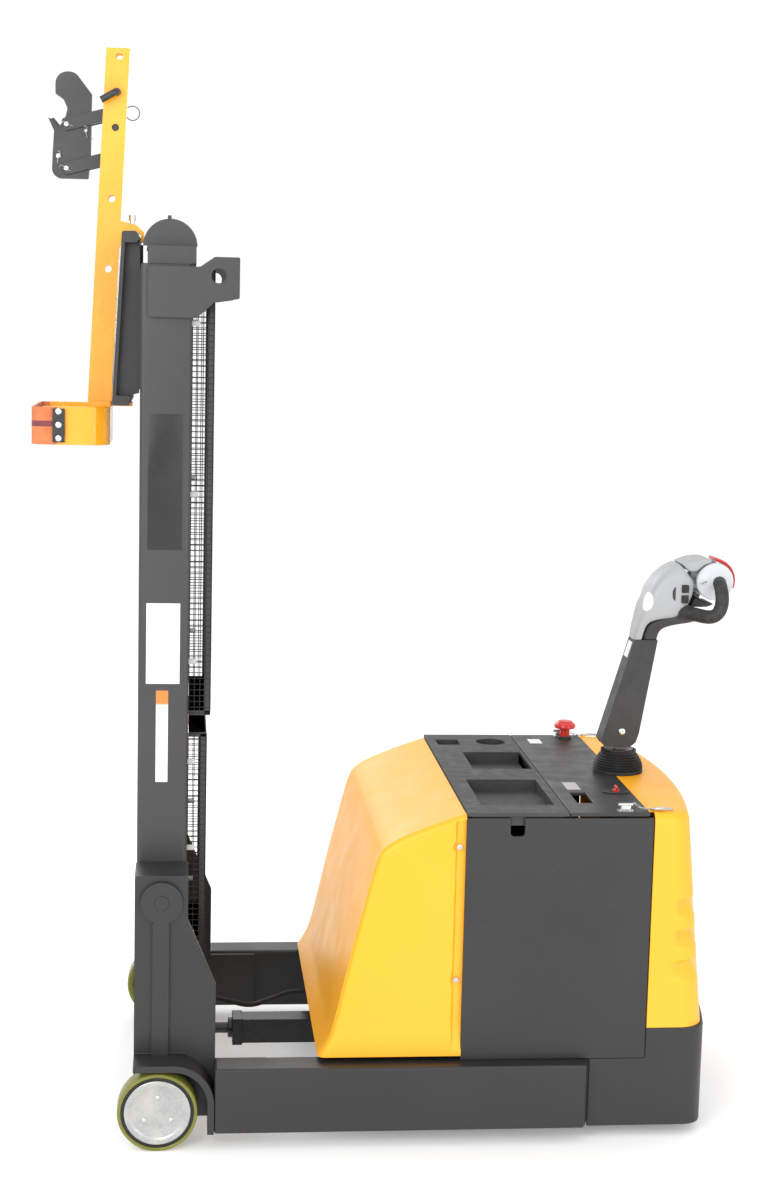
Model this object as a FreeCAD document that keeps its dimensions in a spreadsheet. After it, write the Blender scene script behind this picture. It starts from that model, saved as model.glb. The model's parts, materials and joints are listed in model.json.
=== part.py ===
import FreeCAD, Part
import math
import os
import re
import Sketcher

# A counterbalanced walk-behind stacker with a drum handler on its carriage.
# +X points to the operator, +Y across the machine, +Z up, the floor is Z = 0.
# Every X below is counted from the front axle, which lies at X = axle_x.

SIZES = {
    # whole machine
    "axle_x": -513,
    "running_gap": 0.05,
    "slide_gap": 0.5,
    # front wheels
    "wheel_radius": 85,
    "wheel_width": 50,
    "tyre_depth": 12,
    "axle_radius": 20,
    # legs and floor
    "leg_outer": 441,
    "leg_width": 75,
    "leg_bottom": 35,
    "leg_top": 179,
    "leg_wall": 6,
    "leg_front": 120,
    "leg_rear": 920,
    "floor_bottom": 60,
    "floor_plate": 8,
    # towers that carry the mast
    "tower_front": -52,
    "tower_rear": 61,
    "tower_top": 581,
    "tower_block": 97,
    "tower_depth": 114,
    "tower_plate": 12,
    "gusset_rear": 122,
    "rib_width": 35,
    "rib_proud": 10,
    "fender_plate": 14,
    "arch_bend": 88,
    # mast
    "pivot_x": 5,
    "pivot_z": 524,
    "pivot_radius": 15.6,
    "pivot_disc": 45,
    "mast_half": 245,
    "mast_front": -51,
    "mast_rear": 57,
    "mast_wall": 8,
    "mast_flange": 60,
    "mast_foot": 60,
    "mast_head": 1866,
    "head_height": 37,
    "lug_plate": 12,
    "lug_hole": 15.3,
    "lug_x": 112,
    "lug_z": 1843,
    "cheek_radius": 57,
    # lift cylinder, ram and chains
    "barrel_radius": 35,
    "barrel_foot": 150,
    "barrel_top": 1000,
    "ram_radius": 22.5,
    "ram_top": 1782,
    "sheave_radius": 45,
    "sheave_z": 1815,
    "sheave_y": 37,
    "sheave_width": 20,
    "sheave_pin": 12,
    "groove_depth": 5,
    "chain_width": 12,
    "chain_depth": 7,
    "chain_gap": 0.5,
    # carriage
    "lug_level": 1640,
    "anchor_level": 985,
    "carriage_half": 200,
    "carriage_plate": 8,
    "side_plate_y": 166,
    "roller_radius": 44,
    "roller_width": 50,
    "roller_pin": 15,
    "roller_x": 3,
    "roller_high": 1805,
    "roller_low": 1650,
    # drum handler post
    "post_foot_x": -144,
    "post_foot_z": 1568,
    "post_top_z": 2327,
    "post_lean": 0.049,
    "post_depth": 51,
    "post_half": 32,
    "post_wall": 6,
    "hole_radius": 8,
    "hole_pitch": 151.4,
    "hole_first": 1856,
    "lock_z": 2234,
    # beak linkage
    "link_x": -218,
    "link_z": 2164,
    "link_run": 97,
    "link_rise": 26,
    "link_drop": 94,
    "link_half": 13,
    "link_plate": 6,
    "plate_gap": 0.5,
    "link_pin": 5,
    "open_gap": 0.4,
    "beak_half": 6.5,
    "beak_plate": 6,
    # belt cradle
    "cradle_bottom": 1475,
    "cradle_top": 1568,
    "cradle_half": 125,
    "cradle_tip": -262,
    "cradle_wall": 6,
    "belt_depth": 6,
    # tilt cylinder
    "tilt_z": 112,
    "tilt_pin_x": 100,
    "tilt_pin": 12,
    "tilt_pin_gap": 1.4,
    "tilt_heel_x": 620,
    "tilt_rod": 12.5,
    "tilt_body": 28.5,
    # body
    "body_half": 404,
    "body_front": 649,
    "body_rear": 1056,
    "body_sheet": 6,
    "panel_top": 727,
    "panel_sheet": 8,
    "panel_front": 872,
    "cover_wall": 5,
    "hull_bottom": 25,
    "hull_top": 248,
    "hull_corner": 1183,
    "hull_bow": 50,
    "deck_corner": 1137,
    "deck_bow": 38,
    "corner_round": 45,
    # drive and steering
    "steer_x": 1060,
    "drive_radius": 115,
    "drive_width": 70,
    "drive_axle": 15,
    "neck_radius": 34,
    "boot_radius": 58,
    # tiller
    "tiller_z": 827,
    "tiller_lean": 0.27,
    "tiller_half": 24,
    "tiller_pin": 8,
    "throttle_x": 1259,
    "throttle_z": 1182,
    "throttle_radius": 43,
    "nose_half": 36,
    "nose_radius": 40,
    "belly_travel": 5,
    "belly_plate": 6,
    "head_half": 58,
    # controls
    "stop_x": 1003,
    "stop_y": 365,
    "stop_radius": 27,
    "key_x": 1010,
    "key_y": -215,
}

# Heights of the two lift buttons on the tiller head.
BUTTONS = {"raise": 1166, "lower": 1142}

doc = FreeCAD.newDocument("DrumStacker")
sheet = doc.addObject("Spreadsheet::Sheet", "Sizes")
for row, (alias, size) in enumerate(SIZES.items(), start=1):
    sheet.set("A%d" % row, alias)
    sheet.set("B%d" % row, str(size))
    sheet.setAlias("B%d" % row, alias)
doc.recompute()

NODES = {}


def bound(text):
    """The expression with each size read from the sheet."""
    return re.sub(r"[a-z]+(?:_[a-z]+)*", lambda m: "Sizes." + m[0] if m[0] in SIZES else m[0], str(text))


def value(text):
    """The number that an expression of sizes gives."""
    return float(sheet.evalExpression(bound(text).replace("Sizes.", "")))


def bind(thing, **paths):
    """Tie properties to expressions; a double underscore stands for a dot."""
    for path, text in paths.items():
        thing.setExpression(path.replace("__", "."), bound(text))


def keep(node, thing):
    """Name a finished sub-part, which is written to its own file."""
    thing.Label = node
    NODES[node] = thing
    return thing


def box(name, x, y, z):
    """A block between two X, two Y and two Z values."""
    block = doc.addObject("Part::Box", name)
    bind(block, Length="(%s) - (%s)" % (x[1], x[0]), Width="(%s) - (%s)" % (y[1], y[0]))
    bind(block, Height="(%s) - (%s)" % (z[1], z[0]), Placement__Base__x="axle_x + (%s)" % x[0])
    bind(block, Placement__Base__y=y[0], Placement__Base__z=z[0])
    return block


def rod(name, axis, x, y, z, radius):
    """A round bar along one axis; the coordinate on that axis is a pair."""
    spots = {"x": x, "y": y, "z": z}
    low, high = spots[axis]
    spots[axis] = low
    bar = doc.addObject("Part::Cylinder", name)
    turns = {"x": ((0, 1, 0), 90), "y": ((1, 0, 0), -90), "z": ((0, 0, 1), 0)}
    direction, angle = turns[axis]
    bar.Placement.Rotation = FreeCAD.Rotation(FreeCAD.Vector(*direction), angle)
    bind(bar, Radius=radius, Height="(%s) - (%s)" % (high, low))
    bind(bar, Placement__Base__x="axle_x + (%s)" % spots["x"])
    bind(bar, Placement__Base__y=spots["y"], Placement__Base__z=spots["z"])
    return bar


def cut(name, base, *tools):
    """The base with every tool taken away."""
    result = doc.addObject("Part::Cut", name)
    result.Base = base
    result.Tool = tools[0] if len(tools) == 1 else fuse(name + "Tools", *tools)
    return result


def fuse(name, *pieces):
    """One solid from pieces that touch."""
    result = doc.addObject("Part::MultiFuse", name)
    result.Shapes = list(pieces)
    result.Refine = True
    return result


def group(name, *pieces):
    """Separate solids that share one node."""
    result = doc.addObject("Part::Compound", name)
    result.Links = list(pieces)
    return result


def mirrored(name, source):
    """The same piece on the other side of the machine."""
    result = doc.addObject("Part::Mirroring", name)
    result.Source = source
    result.Normal = FreeCAD.Vector(0, 1, 0)
    return result


def corner_arc(before, corner, after, radius):
    """Centre, first and last point of the arc that rounds a corner."""
    back = (before - corner).normalize()
    ahead = (after - corner).normalize()
    half = back.getAngle(ahead) / 2
    reach = radius / math.tan(half)
    centre = corner + (back + ahead).normalize() * (radius / math.sin(half))
    return centre, corner + back * reach, corner + ahead * reach


def pin_point(sketch, element, spot, x, y):
    """Hold one point of a sketch at two expressions."""
    for kind, text in (("DistanceX", x), ("DistanceY", y)):
        index = sketch.addConstraint(Sketcher.Constraint(kind, -1, 1, element, spot, value(text)))
        sketch.setExpression("Constraints[%d]" % index, bound(text))


def set_radius(sketch, element, radius):
    index = sketch.addConstraint(Sketcher.Constraint("Radius", element, value(radius)))
    sketch.setExpression("Constraints[%d]" % index, bound(radius))


def draw_outline(sketch, outline):
    """A closed outline of (x, y) or (x, y, corner radius) expressions."""
    corners = [FreeCAD.Vector(value(p[0]), value(p[1]), 0) for p in outline]
    rounds = [p[2] if len(p) > 2 else None for p in outline]
    count = len(corners)
    arcs = []
    for i, radius in enumerate(rounds):
        after = corners[(i + 1) % count]
        if radius is None:
            arcs.append((None, corners[i], corners[i]))
        else:
            arcs.append(corner_arc(corners[i - 1], corners[i], after, value(radius)))
    sides = []
    for i in range(count):
        side = Part.LineSegment(arcs[i][2], arcs[(i + 1) % count][1])
        sides.append(sketch.addGeometry(side))
    for i, point in enumerate(outline):
        mark = sketch.addGeometry(Part.Point(corners[i]), True)
        pin_point(sketch, mark, 1, point[0], point[1])
        centre, first, last = arcs[i]
        if centre is None:
            sketch.addConstraint(Sketcher.Constraint("Coincident", sides[i - 1], 2, mark, 1))
            sketch.addConstraint(Sketcher.Constraint("Coincident", sides[i], 1, mark, 1))
            continue
        start = math.atan2(first.y - centre.y, first.x - centre.x)
        end = math.atan2(last.y - centre.y, last.x - centre.x)
        forward = (end - start) % (2 * math.pi) < math.pi
        circle = Part.Circle(centre, FreeCAD.Vector(0, 0, 1), value(point[2]))
        ends = (start, end) if forward else (end, start)
        arc = sketch.addGeometry(Part.ArcOfCircle(circle, *ends))
        joins = (1, 2) if forward else (2, 1)
        sketch.addConstraint(Sketcher.Constraint("Tangent", sides[i - 1], 2, arc, joins[0]))
        sketch.addConstraint(Sketcher.Constraint("Tangent", sides[i], 1, arc, joins[1]))
        sketch.addConstraint(Sketcher.Constraint("PointOnObject", mark, 1, sides[i - 1]))
        sketch.addConstraint(Sketcher.Constraint("PointOnObject", mark, 1, sides[i]))
        set_radius(sketch, arc, point[2])


def new_sketch(name, role, offset):
    """A body with one sketch on an origin plane, moved by three expressions."""
    body = doc.addObject("PartDesign::Body", name)
    sketch = body.newObject("Sketcher::SketchObject", name + "Sketch")
    plane = [f for f in body.Origin.OriginFeatures if f.Role == role][0]
    sketch.AttachmentSupport = [(plane, "")]
    sketch.MapMode = "FlatFace"
    bind(sketch, AttachmentOffset__Base__x=offset[0], AttachmentOffset__Base__y=offset[1])
    bind(sketch, AttachmentOffset__Base__z=offset[2])
    return body, sketch


def slab(name, axis, outline, low, high, holes=()):
    """A flat plate: an outline with round holes, padded between two heights along an axis."""
    planes = {
        "x": ("YZ_Plane", ("0", "0", "axle_x + (%s)" % low)),
        "y": ("XZ_Plane", ("axle_x", "0", "-(%s)" % high)),
        "z": ("XY_Plane", ("axle_x", "0", low)),
    }
    body, sketch = new_sketch(name, *planes[axis])
    draw_outline(sketch, outline)
    for x, y, radius in holes:
        centre = FreeCAD.Vector(value(x), value(y), 0)
        circle = sketch.addGeometry(Part.Circle(centre, FreeCAD.Vector(0, 0, 1), value(radius)))
        pin_point(sketch, circle, 3, x, y)
        set_radius(sketch, circle, radius)
    pad = body.newObject("PartDesign::Pad", name + "Pad")
    pad.Profile = sketch
    bind(pad, Length="(%s) - (%s)" % (high, low))
    return body


def turned(name, axis, x, y, z, profile):
    """A round piece: a profile of (place along the axis, radius) turned about the axis."""
    planes = {
        "x": ("XY_Plane", ("axle_x", y, z)),
        "y": ("YZ_Plane", ("0", z, "axle_x + (%s)" % x)),
        "z": ("XZ_Plane", ("axle_x + (%s)" % x, "0", "-(%s)" % y)),
    }
    body, sketch = new_sketch(name, *planes[axis])
    if axis == "z":
        profile = [(p[1], p[0]) + tuple(p[2:]) for p in profile]
    draw_outline(sketch, profile)
    spin = body.newObject("PartDesign::Revolution", name + "Revolution")
    spin.Profile = sketch
    spin.ReferenceAxis = (sketch, ["V_Axis" if axis == "z" else "H_Axis"])
    spin.Angle = 360
    return body


def shaped(name, shape):
    """A sub-part whose shape no feature above gives."""
    thing = doc.addObject("Part::Feature", name)
    thing.Shape = shape
    thing.Placement = FreeCAD.Placement(FreeCAD.Vector(value("axle_x"), 0, 0), FreeCAD.Rotation())
    return thing


def arc_path(points, bends):
    """Straight runs through the points, joined by tangent arcs of the given radii."""
    edges = []
    start = points[0]
    for before, corner, after, bend in zip(points, points[1:], points[2:], bends):
        centre, first, last = corner_arc(before, corner, after, bend)
        middle = centre + (corner - centre).normalize() * bend
        edges.append(Part.LineSegment(start, first).toShape())
        edges.append(Part.Arc(first, middle, last).toShape())
        start = last
    edges.append(Part.LineSegment(start, points[-1]).toShape())
    return Part.Wire(edges)


def hose(name, points, bends, radius):
    """A round tube along straight runs and tangent arcs."""
    path = arc_path([FreeCAD.Vector(*p) for p in points], bends)
    direction = FreeCAD.Vector(*points[1]) - FreeCAD.Vector(*points[0])
    section = Part.Wire(Part.Circle(FreeCAD.Vector(*points[0]), direction, radius).toShape())
    return shaped(name, path.makePipeShell([section], True, False))


# ---------------------------------------------------------------- front wheels
def front_wheel(side, sign):
    """Polyurethane tyre on a steel hub with a dished cover; a blind bore runs on the axle stub."""
    face = "%d * leg_outer" % sign
    inward = -sign

    def along(depth):
        return "%s + %d * (%s)" % (face, inward, depth)

    rim = "wheel_radius - tyre_depth"
    tyre = [
        (along(0), rim), (along(0), "wheel_radius - 3"), (along(3), "wheel_radius"),
        (along("wheel_width - 3"), "wheel_radius"), (along("wheel_width"), "wheel_radius - 3"),
        (along("wheel_width"), rim),
    ]
    keep("wheel_tyre_" + side, turned("Tyre" + side.title(), "y", "0", "0", "wheel_radius", tyre))
    bore = "axle_radius + running_gap"
    hub = [
        (along(0), rim), (along(0), rim + " - 4"), (along(3), rim + " - 5"), (along(3), "30"),
        (along(0), "24"), (along(0), "0"), (along(8), "0"), (along(8), bore),
        (along("wheel_width"), bore), (along("wheel_width"), "axle_radius + 14"),
        (along("wheel_width - 14"), "axle_radius + 20"), (along("wheel_width - 14"), rim + " - 8"),
        (along("wheel_width"), rim + " - 5"), (along("wheel_width"), rim),
    ]
    keep("wheel_hub_" + side, turned("Hub" + side.title(), "y", "0", "0", "wheel_radius", hub))


# ------------------------------------------------------------- legs and towers
def leg():
    """Box beam beside the machine, closed at the front and cut slanting at the rear."""
    inner = "-leg_outer + leg_width"
    tail = "leg_rear + 12"
    plan = [("leg_front", "-leg_outer"), ("leg_rear", "-leg_outer"), (tail, "-body_half"), (tail, inner),
            ("leg_front", inner)]
    beam = slab("LegBeam", "z", plan, "leg_bottom", "leg_top")
    hollow = box("LegHollow", ("leg_front + leg_wall", "leg_rear - leg_wall"),
                 ("-leg_outer + leg_wall", inner + " - leg_wall"),
                 ("leg_bottom + leg_wall", "leg_top - leg_wall"))
    left = keep("leg_left", cut("LegLeft", beam, hollow))
    keep("leg_right", mirrored("LegRight", left))


def tower():
    """Welded tower: bearing block, gusset plate, rib, wheel arch and axle stub."""
    outer = "leg_outer - leg_width"
    inside = outer + " - tower_depth"
    block_foot = "tower_top - tower_block"
    foot = "leg_bottom + 12"
    plate = [
        ("tower_front", "tower_top", "4"), ("tower_rear", "tower_top", "4"), ("tower_rear", block_foot),
        ("gusset_rear", "342"), ("gusset_rear", "leg_top - 6"), ("gusset_rear + 110", "leg_top - 6"),
        ("gusset_rear + 110", foot), ("tower_front + 20", foot), ("tower_front", foot + " + 20"),
    ]
    bore = ("pivot_x", "pivot_z", "pivot_radius + running_gap")
    gusset = slab("TowerGusset", "y", plate, outer + " - tower_plate", outer, [bore])
    cheek = [
        ("tower_front", "tower_top", "4"), ("tower_rear", "tower_top", "4"), ("tower_rear", block_foot),
        ("tower_rear", foot), ("tower_front", foot),
    ]
    inner_cheek = slab("TowerCheek", "y", cheek, inside, inside + " + tower_plate", [bore])
    across = (inside + " + tower_plate", outer + " - tower_plate")
    shell = box("TowerBlock", ("tower_front", "tower_rear"), across, (block_foot, "tower_top"))
    room = box("TowerRoom", ("tower_front + tower_plate", "tower_rear - tower_plate"), across,
               (block_foot + " + tower_plate", "tower_top - tower_plate"))
    block = cut("TowerBox", shell, room)
    sleeve = cut("TowerSleeve",
                 rod("TowerSleeveOuter", "y", "pivot_x", across, "pivot_z", "pivot_radius + 12"),
                 rod("TowerSleeveBore", "y", "pivot_x", across, "pivot_z", "pivot_radius + running_gap"))
    shin = box("TowerShin", ("tower_front", "tower_rear"), across, (foot, foot + " + tower_plate"))
    spine = box("TowerSpine", ("tower_front", "tower_front + tower_plate"), across, (foot, block_foot))
    rib_middle = "pivot_x - 1"
    rib = box("TowerRib", (rib_middle + " - rib_width / 2", rib_middle + " + rib_width / 2"),
              (outer, outer + " + rib_proud"), ("leg_top + 6", "pivot_z - pivot_disc + 2"))
    collar_span = (outer, outer + " + rib_proud")
    collar = cut("PivotCollar",
                 rod("PivotCollarDisc", "y", "pivot_x", collar_span, "pivot_z", "pivot_disc"),
                 rod("PivotCollarBore", "y", "pivot_x", collar_span, "pivot_z",
                     "pivot_radius + running_gap"))
    arch_top = "2 * wheel_radius + 18"
    arch = [
        ("tower_front", arch_top), ("leg_front", arch_top, "arch_bend"), ("leg_front", "leg_bottom"),
        ("leg_front - fender_plate", "leg_bottom"),
        ("leg_front - fender_plate", arch_top + " - fender_plate", "arch_bend - fender_plate"),
        ("tower_front", arch_top + " - fender_plate"),
    ]
    fender = slab("WheelArch", "y", arch, outer, "leg_outer")
    stub = rod("AxleStub", "y", "0", (outer + " - tower_plate", "leg_outer - 10"), "wheel_radius",
               "axle_radius")
    spacer = rod("AxleSpacer", "y", "0", (outer, "leg_outer - wheel_width - 2"), "wheel_radius",
                 "axle_radius + 10")
    right = keep("tower_right", fuse("TowerRight", gusset, inner_cheek, block, sleeve, shin, spine, rib,
                                     collar, fender, stub, spacer))
    keep("tower_left", mirrored("TowerLeft", right))


def floor_frame():
    """Floor plate, battery shelf and the cross beam that takes the tilt cylinder."""
    inner = "leg_outer - leg_width"
    floor_top = "floor_bottom + floor_plate"
    plate = box("FloorPlate", ("420", "leg_rear"), ("-" + "(" + inner + ")", inner),
                ("floor_bottom", floor_top))
    shelf = box("BatteryShelf", ("body_front + 6", "panel_front"),
                ("-(body_half - body_sheet)", "body_half - body_sheet"),
                ("leg_top", "leg_top + floor_plate"))
    beam = box("CrossBeam", ("body_front", "body_front + 46"), ("-(" + inner + ")", inner),
               (floor_top, "leg_top"))
    ears = []
    for tag, low in (("A", "-30"), ("B", "18")):
        ears.append(box("HeelEar" + tag, ("tilt_heel_x - 18", "body_front"), (low, low + " + 12"),
                        ("tilt_z - 22", "tilt_z + 22")))
    pin = rod("HeelPin", "y", "tilt_heel_x", ("-34", "34"), "tilt_z", "tilt_pin")
    keep("floor_frame", fuse("FloorFrame", plate, beam, shelf, pin, *ears))


# ------------------------------------------------------------------- the mast
def mast_uprights():
    """Two rolled channels that face each other; the carriage rollers run inside."""
    inside = "mast_half - mast_wall"
    lip = "mast_half - mast_flange"
    section = [
        ("mast_front", "mast_half", "9"), ("mast_rear", "mast_half", "9"), ("mast_rear", lip, "3"),
        ("mast_rear - mast_wall", lip), ("mast_rear - mast_wall", inside),
        ("mast_front + mast_wall", inside), ("mast_front + mast_wall", lip), ("mast_front", lip, "3"),
    ]
    right = keep("mast_upright_right", slab("MastRight", "z", section, "mast_foot", "mast_head"))
    keep("mast_upright_left", mirrored("MastLeft", right))


def mast_ties():
    """Foot tie with the clevis of the tilt cylinder, chain anchor tie, and head box with cheeks."""
    lip = "mast_half - mast_flange"
    web = "mast_half - mast_wall"
    foot = box("FootTie", ("mast_front + mast_wall", "mast_rear - mast_wall"), ("-(" + web + ")", web),
               ("mast_foot", "mast_foot + 90"))
    ear = [("mast_rear - mast_wall", "tilt_z - 22"), ("tilt_pin_x + 18", "tilt_z - 22", "12"),
           ("tilt_pin_x + 18", "tilt_z + 20", "12"), ("mast_rear - mast_wall", "tilt_z + 20")]
    ears = [slab("ClevisEar" + n, "y", ear, low, low + " + 12") for n, low in (("A", "-30"), ("B", "18"))]
    pin = rod("ClevisPin", "y", "tilt_pin_x", ("-36", "36"), "tilt_z", "tilt_pin")
    foot_tie = fuse("MastFootTie", foot, pin, *ears)
    anchor = box("AnchorTie", ("mast_rear - mast_wall", "mast_rear"), ("-(" + lip + ")", lip),
                 ("anchor_level - 55", "anchor_level"))
    head = box("HeadBox", ("mast_front + 14", "mast_rear + 8"), ("-(mast_half - 5)", "mast_half - 5"),
               ("mast_head", "mast_head + head_height"))
    keep("mast_ties", group("MastTies", foot_tie, anchor))
    top = "mast_head + head_height"
    cheeks = []
    for tag, low in (("A", "-206"), ("B", "196")):
        disc = rod("Cheek" + tag + "Disc", "y", "10", (low, low + " + 10"), top, "cheek_radius")
        below = box("Cheek" + tag + "Below", ("-60", "80"), (low, low + " + 10"), (top + " - 80", top))
        eye = rod("Cheek" + tag + "Eye", "z", "8", low + " + 5",
                  (top + " + cheek_radius - 2", top + " + cheek_radius + 7"), "4")
        cheeks.append(fuse("Cheek" + tag, cut("Cheek" + tag + "Half", disc, below), eye))
    keep("mast_head", fuse("MastHead", head, *cheeks))


def lug_plates():
    """Plates on the mast head with a bored ear behind the mast."""
    outline = [
        ("-35", "1861", "6"), ("73", "1861"), ("103", "1882"), ("156", "1882", "4"), ("156", "1796", "4"),
        ("104", "1788"), ("66", "1754"), ("-35", "1754", "6"),
    ]
    hole = ("lug_x", "lug_z", "lug_hole")
    right = slab("LugRight", "y", outline, "mast_half", "mast_half + lug_plate", [hole])
    keep("lug_plates", group("LugPlates", right, mirrored("LugLeft", right)))


def mast_pivots():
    """Stub shafts on the uprights that turn in the towers."""
    outer = "leg_outer - leg_width + rib_proud + 2"
    shaft = rod("PivotShaft", "y", "pivot_x", ("mast_half", outer), "pivot_z", "pivot_radius")
    boss = rod("PivotBoss", "y", "pivot_x", ("mast_half", "mast_half + 5"), "pivot_z", "pivot_radius + 20")
    right = fuse("PivotRight", shaft, boss)
    keep("mast_pivots", group("MastPivots", right, mirrored("PivotLeft", right)))


def mesh_guards():
    """Upper and lower guard: a tray of sheet behind the mast, open to the mast."""
    guards = []
    for tag, back, low, high in (("Upper", "105", "903", "1860"), ("Lower", "98", "349", "857")):
        outer = box("Guard" + tag + "Outer", ("mast_rear + 0.5", back), ("-215", "215"), (low, high))
        inner = box("Guard" + tag + "Inner", ("mast_rear - 5", back + " - 3"), ("-212", "212"),
                    (low + " - 5", high + " + 5"))
        guards.append(cut("Guard" + tag, outer, inner))
    keep("mesh_guards", group("MeshGuards", *guards))


def lift_cylinder():
    """Hollow barrel on the foot tie; the ram and its crosshead rise out of it."""
    barrel = rod("BarrelOuter", "z", "pivot_x", "0", ("barrel_foot", "barrel_top"), "barrel_radius")
    bore = rod("BarrelBore", "z", "pivot_x", "0", ("barrel_foot + 10", "barrel_top"),
               "ram_radius + running_gap")
    keep("lift_cylinder", cut("LiftCylinder", barrel, bore))
    ram = rod("RamRod", "z", "pivot_x", "0", ("barrel_top - 60", "ram_top"), "ram_radius")
    gap = "sheave_y - sheave_width / 2 - 1"
    yoke = box("RamYoke", ("pivot_x - 16", "pivot_x + 16"), ("-(" + gap + ")", gap),
               ("ram_top", "sheave_z + 18"))
    reach = "sheave_y + sheave_width / 2 + 4"
    pin = rod("SheavePin", "y", "pivot_x", ("-(" + reach + ")", reach), "sheave_z", "sheave_pin")
    keep("lift_ram", fuse("LiftRam", ram, yoke, pin))
    half = "sheave_width / 2"
    groove = "(chain_width / 2 + 1)"
    bore_radius = "sheave_pin + running_gap"
    profile = [
        ("sheave_y - " + half, bore_radius), ("sheave_y - " + half, "sheave_radius"),
        ("sheave_y - " + groove, "sheave_radius"), ("sheave_y - " + groove, "sheave_radius - groove_depth"),
        ("sheave_y + " + groove, "sheave_radius - groove_depth"), ("sheave_y + " + groove, "sheave_radius"),
        ("sheave_y + " + half, "sheave_radius"), ("sheave_y + " + half, bore_radius),
    ]
    right = turned("SheaveRight", "y", "pivot_x", "0", "sheave_z", profile)
    keep("chain_sheaves", group("ChainSheaves", right, mirrored("SheaveLeft", right)))
    inner = "(sheave_radius - groove_depth + chain_gap)"
    outer = "(sheave_radius - groove_depth + chain_gap + chain_depth)"
    spans = {
        "front": (("pivot_x - " + outer, "pivot_x - " + inner), "lug_level"),
        "rear": (("pivot_x + " + inner, "pivot_x + " + outer), "anchor_level"),
    }
    for tag, (across, low) in spans.items():
        strand = box("Chain" + tag.title(), across,
                     ("sheave_y - chain_width / 2", "sheave_y + chain_width / 2"),
                     (low, "sheave_z"))
        keep("lift_chain_" + tag,
             group("Chains" + tag.title(), strand, mirrored("ChainFar" + tag.title(), strand)))


def mast_hose():
    """Pressure hose from under the front cover to the foot of the lift cylinder."""
    points = [(400, 150, 145), (310, 138, 150), (215, 100, 128), (120, 62, 165), (90, 40, 200),
              (40, 22, 205)]
    keep("lift_hose", hose("LiftHose", points, [120, 90, 60, 30], 6))


# --------------------------------------------------------------- the carriage
def carriage():
    """Welded carriage: leaning front plate, two hook bars, wedge sides and roller stubs."""
    half = "carriage_half"
    plate = [("-92", "1930"), ("-84", "1930"), ("-103", "1568"), ("-111", "1568")]
    front = slab("CarriageFront", "y", plate, "-" + half, half)
    top_bar = slab("CarriageTopBar", "y",
                   [("-92", "1909"), ("-92", "1933", "6"), ("-59", "1933", "6"), ("-59", "1909", "4")],
                   "-" + half, half)
    low_bar = slab("CarriageLowBar", "y",
                   [("-110", "1566", "3"), ("-109", "1587"), ("-74", "1587", "3"), ("-74", "1566", "3")],
                   "-" + half, half)
    wedge = [("-87", "1915"), ("-54", "1915"), ("-54", "1856"), ("14", "1856", "8"), ("14", "1600", "8"),
             ("-54", "1600"), ("-54", "1592"), ("-103", "1580")]
    y = "side_plate_y"
    sides = []
    for tag, low in (("A", "-" + y + " - 6"), ("B", y + " - 6")):
        sides.append(slab("CarriageSide" + tag, "y", wedge, low, low + " + 12"))
    stubs = []
    for level in ("high", "low"):
        for tag, span in (("A", ("-(mast_half - mast_wall - 6)", "-" + y)),
                          ("B", (y, "mast_half - mast_wall - 6"))):
            stubs.append(rod("RollerStub" + level.title() + tag, "y", "roller_x", span, "roller_" + level,
                             "roller_pin"))
    lugs = []
    for tag, low in (("A", "-sheave_y - 8"), ("B", "sheave_y - 8")):
        lugs.append(box("ChainLug" + tag, ("-104", "pivot_x - sheave_radius + 6"), (low, low + " + 16"),
                        ("lug_level - 20", "lug_level")))
    keep("carriage_frame", fuse("CarriageFrame", front, top_bar, low_bar, *sides, *stubs, *lugs))
    for level in ("high", "low"):
        edge = "mast_half - mast_wall - 8"
        profile = [(edge + " - roller_width", "roller_pin + running_gap"),
                   (edge + " - roller_width", "roller_radius", "3"),
                   (edge, "roller_radius", "3"), (edge, "roller_pin + running_gap")]
        right = turned("Roller" + level.title(), "y", "roller_x", "0", "roller_" + level, profile)
        keep("rollers_" + level,
             group("Rollers" + level.title(), right, mirrored("RollerFar" + level.title(), right)))


# ------------------------------------------------------------ the drum handler
def post_x(z, depth="0"):
    """X of a line in the leaning post at a height; depth 0 is its middle."""
    return "post_foot_x + post_lean * ((%s) - post_foot_z) + (%s)" % (z, depth)


def post():
    """Leaning channel post welded from three plates, open to the drum, with a row of pin holes."""
    front = "-post_depth / 2"
    rear = "post_depth / 2"
    side = [
        (post_x("post_foot_z", front), "post_foot_z"), (post_x("post_foot_z", rear), "post_foot_z"),
        (post_x("post_top_z", rear), "post_top_z", "6"), (post_x("post_top_z", front), "post_top_z"),
    ]
    holes = []
    for step in range(4):
        z = "hole_first + %d * hole_pitch" % step
        holes.append((post_x(z, "3"), z, "hole_radius"))
    holes.append((post_x("lock_z", "3"), "lock_z", "hole_radius"))
    near = slab("PostNear", "y", side, "-post_half", "-post_half + post_wall", holes)
    far = slab("PostFar", "y", side, "post_half - post_wall", "post_half", holes)
    inner = "post_depth / 2 - post_wall"
    back = [
        (post_x("post_foot_z", inner), "post_foot_z"), (post_x("post_foot_z", rear), "post_foot_z"),
        (post_x("post_top_z", rear), "post_top_z"), (post_x("post_top_z", inner), "post_top_z"),
    ]
    spine = slab("PostBack", "y", back, "-post_half + post_wall", "post_half - post_wall")
    upper, lower, bolt = post_brackets()
    keep("post", group("Post", near, far, spine, upper, lower))
    return bolt


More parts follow.
